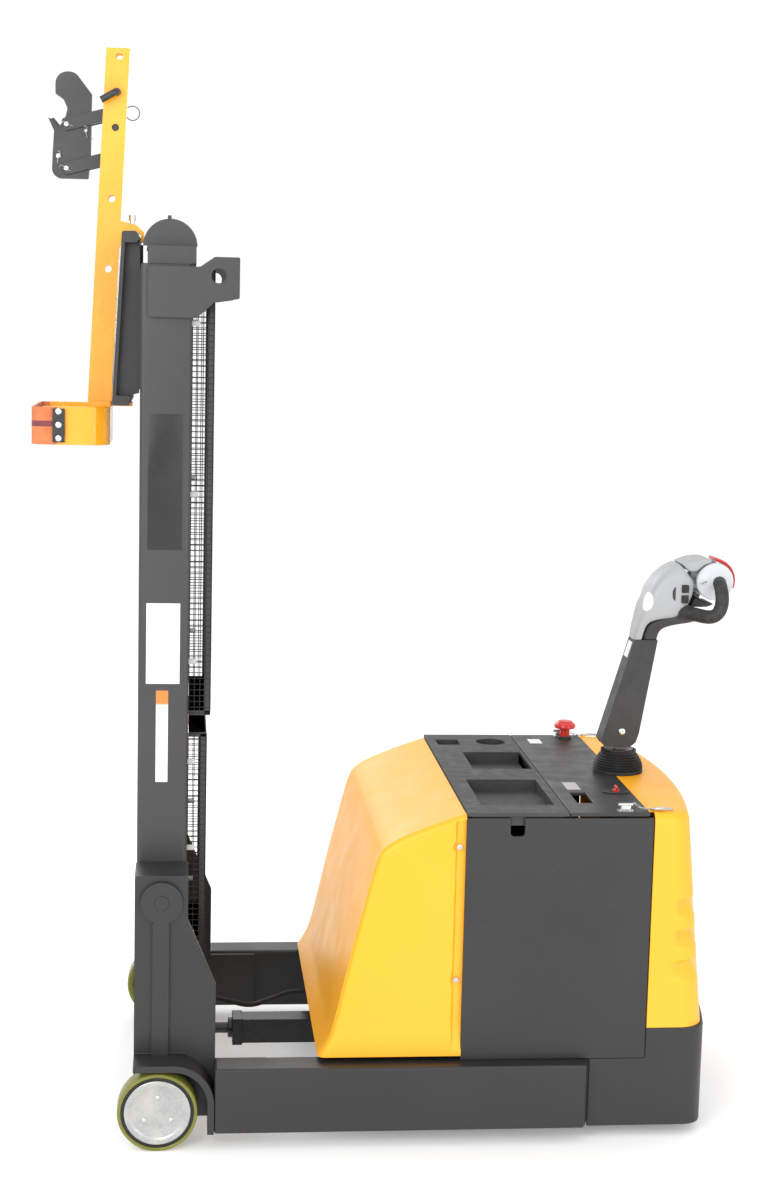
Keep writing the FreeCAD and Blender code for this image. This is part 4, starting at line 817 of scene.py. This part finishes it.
def covers():
    """Both yellow mouldings in place of their plain shells."""
    shell = outward(front_cover(), at(560, 0, 400))
    piece("front_moulding", thick(shell, COVER_WALL), "root", "yellow_cover", FINISH["yellow_cover"],
          "front_cover")
    shell = outward(rear_cover(), at(1080, 0, 450))
    piece("rear_moulding", thick(shell, COVER_WALL), "root", "yellow_cover", FINISH["yellow_cover"],
          "rear_cover")


def boot():
    """Bellows round the steering neck: a flat foot and seven ribs that narrow upwards."""
    profile = [(0.0, 0.050), (0.0, 0.0575), (0.005, 0.0580), (0.007, 0.0570)]
    ribs = 7
    foot, top = 0.007, 0.046
    for step in range(ribs * 8 + 1):
        share = step / (ribs * 8)
        barrel = 0.0580 + 0.0025 * math.sin(math.pi * share) - 0.0165 * share ** 1.45
        wave = 0.0021 * math.cos(2 * math.pi * ribs * share) - 0.0021
        profile.append((foot + (top - foot) * share, barrel + wave))
    profile += [(0.047, 0.0405), (0.0525, 0.0415), (0.0525, 0.0365), (0.008, 0.045), profile[0]]
    mesh = turned(profile, at(TILLER_X, 0, DECK_Z + 0.3), (0, 0, 1), 64, caps=False)
    piece("bellows", mesh, "steering", "hose_rubber", FINISH["hose_rubber"], "tiller_boot")


def guards():
    """Wire mesh behind the mast in two bays, each with an angle frame and tie clips."""
    wire = 0.0009
    meshes, frames, clips = [], [], []
    front, half, pitch = 58.5, 213, 12.7
    for back, low, high in ((105, 903, 1858), (98, 349, 857)):
        height = high - low
        rows = round(height / pitch) + 1
        for sign in (-1, 1):
            width = back - front
            flat = grown(TREES["mesh"], bpy.data.meshes.new("Flat"), Width=width / 1000,
                         Height=height / 1000, Columns=round(width / pitch) + 1, Rows=rows, Wire=wire,
                         Finish=FINISH["panel_black"])
            turn = Matrix.Rotation(math.pi / 2, 4, "X")
            flat.transform(Matrix.Translation(at((front + back) / 2, sign * half, (low + high) / 2)) @ turn)
            meshes.append(flat)
            corner = [(back - 14, half), (back, half), (back, half - 16), (back - 2, half - 16),
                      (back - 2, half - 2), (back - 14, half - 2)]
            corner = [at(x, sign * y, 0).xy for x, y in corner]
            frames.append(pillow(corner, (low - 3) / 1000, (high + 1) / 1000, 0.0004, "XY", 0.001))
            for share in (0.12, 0.5, 0.88):
                z = low + height * share
                levels = sorted((sign * (half + 3) / 1000, sign * (half - 1) / 1000))
                clips.append(pillow(box_xz(front - 6, front + 16, z - 6, z + 6), *levels, 0.0005, "XZ",
                                    0.002))
        flat = grown(TREES["mesh"], bpy.data.meshes.new("Flat"), Width=2 * half / 1000,
                     Height=height / 1000, Columns=round(2 * half / (2 * pitch)) + 1, Rows=rows // 2 + 1,
                     Wire=wire, Finish=FINISH["panel_black"])
        turn = Matrix.Rotation(math.pi / 2, 4, "Z") @ Matrix.Rotation(math.pi / 2, 4, "X")
        flat.transform(Matrix.Translation(at(back - 1, 0, (low + high) / 2)) @ turn)
        meshes.append(flat)
        for z in (low, high - 2):
            band = [(front, -half), (back, -half), (back, half), (front, half), (front, half - 3),
                    (back - 3, half - 3), (back - 3, -half + 3), (front, -half + 3)]
            band = [at(x, y, 0).xy for x, y in band]
            frames.append(pillow(band, (z - 5) / 1000, (z + 5) / 1000, 0.0004, "XY", 0.0005))
    piece("guard_wires", joined(*meshes), "mast", "panel_black", FINISH["panel_black"], "mesh_guards")
    piece("guard_frames", joined(*frames), "mast", "panel_black", FINISH["panel_black"])
    piece("guard_clips", joined(*clips), "mast", "zinc_steel", FINISH["zinc_steel"])


def lofted(front, back, halves, power=4.0, sides=40):
    """A body between two side lines in the XZ plane, each section a rounded box as wide as its half."""
    rings = []
    for (fx, fz), (bx, bz), half in zip(front, back, halves):
        ring = []
        for k in range(sides):
            angle = 2 * math.pi * k / sides
            c, d = math.cos(angle), math.sin(angle)
            size = (abs(c) ** power + abs(d) ** power) ** (-1 / power)
            u, v = c * size, d * size
            ring.append(at(fx + (bx - fx) * (1 + u) / 2, v * half, fz + (bz - fz) * (1 + u) / 2))
        rings.append(ring)
    return skin(rings)


def smooth(mesh, levels=1):
    """The mesh after subdivision."""
    return evaluated(mesh, "SUBSURF", levels=levels, render_levels=levels)


def tiller_head():
    """Silver cowl over a dark neck casting, the roof piece, badge, dark plates as painted shade of the thumb
    recesses, and nose.
    """
    front = [(1078, 1041), (1079, 1044), (1081, 1056), (1085, 1076), (1092, 1106), (1102, 1142),
             (1116, 1174), (1137, 1199), (1157, 1213), (1176, 1221), (1179, 1221)]
    back = [(1100, 1041), (1100, 1044), (1102, 1056), (1105, 1070), (1112, 1086), (1146, 1093),
            (1193, 1095), (1200, 1127), (1211, 1142), (1213, 1172), (1214, 1180)]
    halves = [31, 32, 34, 38, 45, 54, 58, 58, 57, 54, 50]
    mesh = smooth(lofted(front, back, halves, 5.0, 44))
    cowl = piece("cowl", mesh, "tiller", "head_grey", FINISH["head_grey"], "tiller_head", crease=60)
    front = [(1101, 1041), (1101, 1044), (1103, 1058), (1107, 1074), (1120, 1089), (1152, 1100),
             (1200, 1112), (1232, 1112), (1236, 1111)]
    back = [(1136, 1041), (1136, 1044), (1138, 1056), (1144, 1067), (1160, 1075), (1184, 1080),
            (1212, 1084), (1234, 1092), (1237, 1094)]
    halves = [29, 29.5, 31, 34, 40, 46, 50, 46, 42]
    mesh = smooth(lofted(front, back, halves, 5.0, 36))
    piece("neck_casting", mesh, "tiller", "tiller_grey", FINISH["tiller_grey"], crease=60)
    front = [(1181, 1221), (1182, 1222), (1196, 1228), (1212, 1233), (1228, 1235), (1242, 1234),
             (1250, 1232), (1251, 1231)]
    back = [(1196, 1206), (1198, 1205), (1213, 1201), (1221, 1206), (1230, 1217), (1240, 1223),
            (1249, 1227), (1250, 1228)]
    halves = [50, 51, 52, 52, 52, 52, 51, 50]
    mesh = smooth(lofted(front, back, halves, 7.0, 40))
    piece("roof_piece", mesh, "tiller", "head_grey", FINISH["head_grey"], crease=60)
    front = [(1209, 1129), (1210, 1130), (1216, 1148), (1226, 1141), (1240, 1134), (1256, 1131),
             (1258, 1130)]
    back = [(1209, 1122), (1211, 1121), (1222, 1120), (1234, 1120), (1246, 1121), (1258, 1126),
            (1259, 1127)]
    piece("head_wedge", lofted(front, back, [40] * 7, 6.0, 24), "tiller", "panel_black",
          FINISH["panel_black"])
    nose = turned([(-0.036, 0.001), (-0.036, 0.034), (-0.033, 0.0375), (0.033, 0.0375), (0.036, 0.034),
                   (0.036, 0.001)],
                  THUMB_SHAFT, ACROSS)
    piece("nose_drum", nose, "tiller", "head_grey", FINISH["head_grey"])
    cowl_tree = BVHTree.FromPolygons([v.co for v in cowl.data.vertices],
                                     [p.vertices for p in cowl.data.polygons])
    badges = []
    for sign in (-1, 1):
        look = Vector((0.72, -sign * 0.69, 0))
        centre = at(1094, sign * 52, 1134) - look * 0.1
        wide = look.cross(Vector((0, 0, 1)))
        rings = []
        for radius, lift in ((0.0215, -0.001), (0.0215, 0.0006), (0.0205, 0.0012), (0.015, 0.0012),
                             (0.008, 0.0012), (0.0004, 0.0012)):
            ring = []
            for k in range(36):
                angle = 2 * math.pi * k / 36
                rise = Vector((0, 0, radius * math.sin(angle)))
                start = centre + wide * (0.75 * radius * math.cos(angle)) + rise
                hit, normal, _, _ = cowl_tree.ray_cast(start, look)
                ring.append(hit + normal * lift)
            rings.append(ring)
        badges.append(skin(rings))
    piece("badges", joined(*badges), "tiller", "head_grey", FINISH["badge"], crease=60)
    # The thumb recesses are not cut into the cowl: dark half-moon plates on its sides are painted shade
    # standing in for their hollows.
    shade_plates = []
    for sign in (-1, 1):
        turns = [math.pi * k / 10 for k in range(11)]
        moon = [(1166 - 7.5 * math.sin(turn), 1154 - 16 * math.cos(turn)) for turn in turns]
        low, high = sorted((sign * 0.0572, sign * 0.0586))
        shade_plates.append(pillow([at(x, 0, z).xz for x, z in moon], low, high, 0.0005, "XZ", 0.001))
    piece("thumb_recesses", joined(*shade_plates), "tiller", "panel_black", FINISH["panel_black"])


def grips():
    """Thick hand loops that leave the cowl's rear edge and curl round to the thumb wheels."""
    loops = []
    for sign in (-1, 1):
        path = [(1182, 42, 1110), (1200, 52, 1110), (1218, 84, 1108), (1236, 112, 1107), (1252, 124, 1118),
                (1259, 124, 1146), (1258, 112, 1172), (1258, 94, 1183), (1262, 78, 1183)]
        loops.append(tube([at(x, sign * y, z) for x, y, z in path], 0.0155, 20, 4))
    mesh = joined(*loops)
    for vertex in mesh.vertices:
        share = min(1, max(0, (AXLE_X + 1.240 - vertex.co.x) / 0.06))
        middle = 1.1095
        if vertex.co.z < 1.132:
            vertex.co.z = middle + (vertex.co.z - middle) * (1 + 0.12 * share)
    piece("hand_loops", mesh, "tiller", "tiller_grey", FINISH["grip"], "grip_loops", crease=60)


def butterfly():
    """Two dished thumb wheels on one shaft, each with a raised finger bar."""
    parts = []
    for sign in (-1, 1):
        profile = [(0.040, 0.001), (0.040, 0.042), (0.042, 0.043), (0.050, 0.043), (0.053, 0.0415),
                   (0.053, 0.039), (0.058, 0.026), (0.066, 0.017), (0.074, 0.013), (0.078, 0.012),
                   (0.078, 0.001)]
        parts.append(turned([(sign * a, r) for a, r in profile], THUMB_SHAFT, ACROSS, 56))
        bar = pillow([at(x, 0, z).xz for x, z in ((1221, 1176), (1222, 1184), (1258, 1196), (1258, 1182))],
                     *sorted((sign * 0.050, sign * 0.062)), 0.003, "XZ", 0.003)
        parts.append(bar)
    piece("thumb_wheels", joined(*parts), "butterfly", "head_grey", FINISH["dial"], "throttle", crease=50)
    section = ((-0.003, -0.034), (0.0015, -0.036), (0.004, -0.032), (0.0045, 0), (0.004, 0.032),
               (0.0015, 0.036), (-0.003, 0.034))
    rings = []
    for k in range(25):
        angle = math.radians(84 - 4.3 * k)
        ring = []
        for du, dy in section:
            reach = 0.048 + du
            ring.append(THUMB_SHAFT + Vector((reach * math.cos(angle), dy, reach * math.sin(angle))))
        rings.append(ring)
    piece("belly_strip", skin(rings), "belly", "red_plastic", FINISH["red_plastic"], "belly_switch",
          crease=60)


# ------------------------------------------------------------ rims, fasteners and trim
def softened(node, width):
    """A copy of a CAD node with its sharp rims broken, in its place."""
    work = bmesh.new()
    work.from_mesh(NODES[node].data)
    bmesh.ops.remove_doubles(work, verts=work.verts, dist=1e-5)
    bmesh.ops.dissolve_limit(work, angle_limit=math.radians(0.6), verts=work.verts, edges=work.edges)
    mesh = bpy.data.meshes.new("Rims")
    work.verts.index_update()
    mesh.from_pydata([tuple(v.co) for v in work.verts], [],
                     [tuple(v.index for v in f.verts) for f in work.faces])
    work.free()
    for face in mesh.polygons:
        face.use_smooth = True
    made = evaluated(mesh, "BEVEL", width=width, segments=2, limit_method="ANGLE",
                     angle_limit=math.radians(30), harden_normals=True, use_clamp_overlap=True)
    body = next(b for b, members in frame["record"]["behaviour"]["bodies"].items() if node in members)
    slot = next(e["material_slot"] for e in frame["record"]["subparts"] if e["node"] == node)
    piece(node + "_shaped", made, body, slot, FINISH.get(node, FINISH[slot]), node, crease=0)


RIMS = {
    "tray_cover": 0.0060, "control_panel": 0.0022, "side_plates": 0.0022, "leg_left": 0.006,
    "leg_right": 0.006, "tower_left": 0.0025, "tower_right": 0.0025, "mast_upright_left": 0.004,
    "mast_upright_right": 0.004, "mast_head": 0.004, "lug_plates": 0.003, "carriage_frame": 0.002,
    "hull_skirt": 0.006, "post": 0.0016, "cradle_arms": 0.0018, "cradle_belt": 0.0012,
    "clamp_plates": 0.0015, "tiller_arm": 0.0035, "beak_plates": 0.0010, "beak_jaw": 0.0010,
    "links_upper": 0.0010, "links_lower": 0.0010, "floor_frame": 0.002, "tilt_cylinder": 0.003,
    "button_raise": 0.0012, "button_lower": 0.0012, "head_carrier": 0.001, "mast_pivots": 0.002,
}


def screws():
    """Cap screws on the clamp plates, the tiller's fork and the front cover."""
    places = []
    for sign in (-1, 1):
        for step in range(3):
            places.append((at(-227, sign * 136.2, 1490 + 29 * step), (0, sign, 0)))
    mesh = copies(socket_screw(0.0066, 0.0034), places, FINISH["bright_steel"])
    piece("clamp_screws", mesh, "carriage", "bright_steel", FINISH["bright_steel"])
    places = [(at(TILLER_X, sign * 30.2, TILT_PIN_Z), (0, sign, 0)) for sign in (-1, 1)]
    mesh = copies(socket_screw(0.0075, 0.0036), places, FINISH["bright_steel"])
    piece("tilt_pin_screws", mesh, "tiller", "bright_steel", FINISH["bright_steel"])
    places = [(at(x, sign * 396.5, z), (0, sign, 0)) for sign in (-1, 1) for x, z in COVER_SCREWS]
    mesh = copies(socket_screw(0.0062, 0.0045), places, FINISH["bright_steel"])
    piece("cover_cap_screws", mesh, "root", "bright_steel", FINISH["bright_steel"], "cover_screws")


def cotters():
    """Bent wire cotters through the beak's clevis pins."""
    wire = [(-9, 5), (-4, 9), (0, 5), (2, 0), (6, -7), (11, -11)]
    parts = []
    for x, z, lean in ((-218, 2164, 0.5), (-176, 2151, -0.6), (-235, 2096, -0.9), (-223, 2070, 0.4)):
        c, d = math.cos(lean), math.sin(lean)
        for sign in (-1, 1):
            path = [at(x + u * c - v * d, sign * 23.5, z + u * d + v * c) for u, v in wire]
            parts.append(tube(path, 0.0007, 8))
    piece("cotters", joined(*parts), "beak", "zinc_steel", FINISH["zinc_steel"])


def ring_clip():
    """Spring wire ring that keeps the lock pin in the post."""
    centre = at(-76, 0, 2193)
    path = [centre + Vector((-0.030, 0.0, 0.014)), centre + Vector((-0.016, 0, 0.013))]
    for k in range(13):
        angle = math.radians(130 - 25 * k)
        path.append(centre + Vector((0.0155 * math.cos(angle), 0.001 * k / 12, 0.0155 * math.sin(angle))))
    path.append(centre + Vector((-0.028, 0.002, -0.006)))
    piece("ring_clip", tube(path, 0.0012, 8), "carriage", "chain_steel", FINISH["chain_steel"])


def plain_labels():
    """Blank stickers on the mast and the panel, in place of printed ones."""
    for name, finish, x0, x1, z0, z1 in (
        ("mast_panel_sticker", "sticker_black", -33, 40, 1263, 1552),
        ("mast_white_sticker", "sticker_white", -34, 38, 973, 1148),
        ("mast_strip_sticker", "sticker_strip", -12, 14, 757, 958),
    ):
        mesh = pillow(box_xz(x0, x1, z0, z1), MAST_FACE_Y / 1000 - 0.0004, MAST_FACE_Y / 1000 + 0.0001,
                      0.0001, "XZ", 0.001, steps=2)
        piece(name, mesh, "mast", "frame_grey", FINISH[finish])
    for name, finish, y0, y1 in (("panel_sticker", "sticker_grey", -190, -120),
                                 ("panel_sticker_far", "sticker_white", 300, 350)):
        mesh = pillow(box_xy(905, 936, y0, y1), DECK, DECK + 0.0005, 0.0001, "XY", 0.001, steps=2)
        piece(name, mesh, "root", "panel_black", FINISH[finish])


def weld(start, end, half):
    """Overlapping weld beads along a line."""
    count = max(2, round((end - start).length / (0.9 * half)))
    places = []
    for k in range(count + 1):
        wander = 0.12 * half * math.sin(2.7 * k) * Vector((1, 0, 0.5))
        places.append((start.lerp(end, k / count) + wander, (end - start).normalized()))
    bead = [(-0.75 * half, 0.0001), (-0.6 * half, 0.5 * half), (-0.2 * half, 0.72 * half),
            (0.3 * half, 0.66 * half), (0.7 * half, 0.35 * half), (0.8 * half, 0.0001)]
    return copies(turned(bead, ORIGIN, UP, 10), places, FINISH["frame_grey"])


def welds():
    """Beads where the ribs, arches, lugs and head plate meet the plates behind them."""
    beads = {"root": [], "mast": []}
    for sign in (-1, 1):
        y = sign * 366.5
        for x in (-14, 22.5):
            beads["root"].append(weld(at(x, y, 186), at(x, y, 246), 0.0032))
        beads["root"].append(weld(at(-49, y, 189.5), at(-16, y, 189.5), 0.0040))
        beads["root"].append(weld(at(25, y, 189.5), at(60, y, 189.5), 0.0034))
        beads["mast"].append(weld(at(58.5, sign * 245.5, 1826), at(58.5, sign * 245.5, 1866), 0.0028))
    for body, runs in beads.items():
        piece(body + "_welds", joined(*runs), body, "frame_grey", FINISH["frame_grey"], crease=60)


def arm_label():
    """Blank sticker across the front face of the tiller's arm."""
    face = [Vector((TILLER_X + 0.27 * rise + across, TILT_PIN_Z + rise))
            for rise, across in ((172, -38.6), (208, -37.6))]
    corners = ((0, -19), (0, 19), (1, 19), (1, -19))
    rings = []
    for lift in (0.2, -0.35):
        rings.append([at(face[k].x + lift, y, face[k].y) for k, y in corners])
    piece("arm_sticker", skin(rings), "tiller", "tiller_grey", FINISH["sticker_white"])


def stop_switch():
    """Mushroom stop switch with its black collar."""
    cap = [(0.006, 0.001), (0.006, 0.0125), (0.026, 0.0125), (0.027, 0.0255), (0.0285, 0.0268),
           (0.034, 0.0270), (0.038, 0.025), (0.0395, 0.0225), (0.041, 0.0200), (0.045, 0.0170),
           (0.0458, 0.012), (0.046, 0.001)]
    mesh = turned(cap, STOP_AT, UP, 48)
    piece("stop_cap", mesh, "stop", "red_plastic", FINISH["red_plastic"], "stop_button")
    collar = [(0.0001, 0.0135), (0.0001, 0.0175), (0.005, 0.0175), (0.0062, 0.016), (0.0062, 0.0135)]
    mesh = turned(collar + [collar[0]], STOP_AT, UP, 32, caps=False)
    piece("stop_collar", mesh, "root", "panel_black", FINISH["panel_black"])


def key_switch():
    """Oval plate with a red-topped key."""
    turns = [math.pi * k / 16 for k in range(32)]
    oval = [(KEY_X + 30 * math.cos(turn), KEY_Y + 17 * math.sin(turn)) for turn in turns]
    mesh = pillow([at(x, y, 0).xy for x, y in oval], DECK + 0.0001, DECK + 0.0030, 0.0008, "XY", 0.0005)
    piece("key_plate", mesh, "root", "panel_black", FINISH["panel_black"])
    barrel = turned([(0.0, 0.001), (0.0, 0.0078), (0.0062, 0.0078), (0.007, 0.0068), (0.007, 0.001)],
                    at(KEY_X, KEY_Y, DECK_Z + 0.2), UP, 28)
    bow = pillow([at(0, KEY_Y + across, DECK_Z + rise).yz
                  for across, rise in ((-7, 5), (7, 5), (11, 11), (9, 16), (-9, 16), (-11, 11))],
                 at(KEY_X - 2.5, 0, 0).x, at(KEY_X + 2.5, 0, 0).x, 0.0012, "YZ", 0.003)
    piece("key_shaped", joined(barrel, bow), "ignition", "red_plastic", FINISH["red_plastic"], "key")


def build_chain(path, link, wire, body, name):
    """Short links along a line, each turned a quarter against the last."""
    parts = []
    for index in range(len(path) - 1):
        a, b = path[index], path[index + 1]
        along = (b - a).normalized()
        across = along.cross(Vector((0, 0, 1))).normalized()
        lift = across.cross(along)
        if index % 2:
            across, lift = lift, across
        middle = (a + b) / 2
        loop = []
        for k in range(10):
            angle = 2 * math.pi * k / 10
            loop.append(middle + along * (link * math.cos(angle)) + across * (link * 0.55 * math.sin(angle)))
        parts.append(tube(loop, wire, 8, 3, closed=True))
    piece(name, joined(*parts), body, "bright_steel", FINISH["bright_steel"])


def latches():
    """Spring latch, short chain and snap hook on each end of the deck."""
    for tag, sign, y in (("left", -1, -384), ("right", 1, 389)):
        base = pillow(box_xy(978, 1012, y - 9, y + 9), DECK + 0.0001, DECK + 0.0020, 0.0005, "XY", 0.003)
        block = pillow(box_xy(984, 1006, y - 7, y + 7), DECK + 0.0015, DECK + 0.0130, 0.002, "XY", 0.002)
        bar = turned([(-0.016, 0.001), (-0.016, 0.0035), (0.016, 0.0035), (0.016, 0.001)], at(995, y, 741),
                     ALONG, 20)
        piece("latch_" + tag, joined(base, block, bar), "root", "bright_steel", FINISH["bright_steel"])
        rise = [745, 740, 735, 732, 731, 731, 731]
        path = [at(1012 + 6.5 * k, y - sign * (1.5 * (k % 3)), z) for k, z in enumerate(rise)]
        build_chain(path, 0.0044, 0.0009, "root", "tether_" + tag)
        hook = [(1050, 0, 731), (1058, 4, 731), (1076, 6, 731), (1092, 5, 731), (1100, 0, 731),
                (1094, -5, 731), (1078, -5, 732), (1062, -4, 731)]
        parts = [tube([at(px, y + sign * py, pz) for px, py, pz in hook], 0.0021, 10, 3, closed=True)]
        sleeve = [(-0.010, 0.001), (-0.010, 0.0028), (0.010, 0.0028), (0.010, 0.001)]
        parts.append(turned(sleeve, at(1070, y + sign, 733), (1, 0.1, 0), 16))
        piece("snap_hook_" + tag, joined(*parts), "root", "bright_steel", FINISH["bright_steel"])


def leaf_chains():
    """Leaf chain strands, packs of waisted plates on pins, drawn out between the parts they join."""
    pitch = 0.0127
    eye = 0.0042
    outline = []
    for end in (-1, 1):
        for k in range(-4, 5):
            angle = math.radians(90 * end + 25 * k * end)
            outline.append(Vector((eye * math.cos(angle), end * pitch / 2 + eye * math.sin(angle))))
    parts = []
    for shift, offsets in ((0, (-0.0041, -0.0014, 0.0014, 0.0041)), (pitch, (-0.0027, 0.0, 0.0027))):
        for offset in offsets:
            plate = pillow(outline, offset - 0.0006, offset + 0.0006, 0.0002, "XZ", 0.0001, steps=1)
            plate.transform(Matrix.Translation((0, 0, shift)))
            parts.append(plate)
    for k in (-1, 1):
        pin = [(-0.0055, 0.0005), (-0.0055, 0.0016), (0.0055, 0.0016), (0.0055, 0.0005)]
        parts.append(turned(pin, Vector((0, 0, k * pitch / 2)), (0, 1, 0), 10))
    pack = joined(*parts)
    for node, above, below, foot in (("lift_chain_front", "ram", "carriage", 1.640),
                                     ("lift_chain_rear", "ram", "mast", 0.985)):
        strand = [v.co for v in NODES[node].data.vertices if v.co.y > 0]
        x = sum(p.x for p in strand) / len(strand)
        y = sum(p.y for p in strand) / len(strand)
        low, high = min(p.z for p in strand), max(p.z for p in strand)
        count = int((high - low) / (2 * pitch))
        spare = (high - low - 2 * pitch * count) / 2
        heights = [low + spare + pitch * (0.5 + 2 * k) for k in range(count)]
        places = [(Vector((x, sign * y, z)), UP) for sign in (-1, 1) for z in heights]
        mesh = copies(pack.copy(), places, FINISH["chain_steel"])
        mesh.name = node + "_links"
        links = bpy.data.objects.new(node + "_links", mesh)
        bpy.context.scene.collection.objects.link(links)
        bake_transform(links)
        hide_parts(node)


def wheels():
    """Shallow zinc covers with rivets and a dark rim ring on both front wheels."""
    cover = [(-0.048, 0.021), (-0.048, 0.0700), (-0.004, 0.0702), (-0.0008, 0.0702), (0.0, 0.0690),
             (-0.0003, 0.0610), (-0.0020, 0.0575), (-0.0034, 0.0545), (-0.0034, 0.030), (-0.0030, 0.0001)]
    rim = [(-0.006, 0.0700), (-0.002, 0.0712), (-0.0012, 0.0740), (-0.002, 0.0766), (-0.006, 0.0780)]
    tyre = [(-0.048, 0.0700), (-0.050, 0.0730), (-0.050, 0.0815), (-0.047, 0.0850), (-0.003, 0.0850),
            (-0.0008, 0.0840), (0.0, 0.0820), (0.0, 0.0790), (-0.001, 0.0776), (-0.005, 0.0772),
            (-0.005, 0.0700)]
    for side, sign in (("left", -1), ("right", 1)):
        face = sign * WHEEL_FACE
        body = "front_wheel_" + side
        hub = at(0, face, WHEEL_RADIUS)
        mesh = turned([(sign * a, r) for a, r in cover], hub, ACROSS, 96)
        piece("wheel_cover_" + side, mesh, body, "zinc_steel", FINISH["zinc_steel"], "wheel_hub_" + side)
        mesh = turned([(sign * a, r) for a, r in rim], hub, ACROSS, 96)
        piece("rim_ring_" + side, mesh, body, "hose_rubber", FINISH["hose_rubber"])
        mesh = turned([(sign * a, r) for a, r in tyre], hub, ACROSS, 96)
        piece("tread_" + side, mesh, body, "polyurethane", FINISH["polyurethane"], "wheel_tyre_" + side)
        places = []
        for k in range(3):
            angle = math.radians(90 + 120 * k)
            x, rise = 33 * math.cos(angle), 33 * math.sin(angle)
            places.append((at(x, face - sign * 3.6, WHEEL_RADIUS + rise), (0, sign, 0)))
        mesh = copies(dome_rivet(0.0060, 0.0032), places, FINISH["bright_steel"])
        piece("wheel_rivets_" + side, mesh, body, "bright_steel", FINISH["bright_steel"])


def build_pieces():
    """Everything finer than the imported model."""
    covers()
    boot()
    guards()
    tiller_head()
    grips()
    butterfly()
    wheels()
    for node, width in RIMS.items():
        softened(node, width)
    screws()
    cotters()
    ring_clip()
    plain_labels()
    arm_label()
    welds()
    stop_switch()
    key_switch()
    latches()
    leaf_chains()


place_camera()
set_stage()
FINISH = place_finishes()
TREES = {"copies": copies_tree(), "mesh": mesh_tree()}
build_pieces()
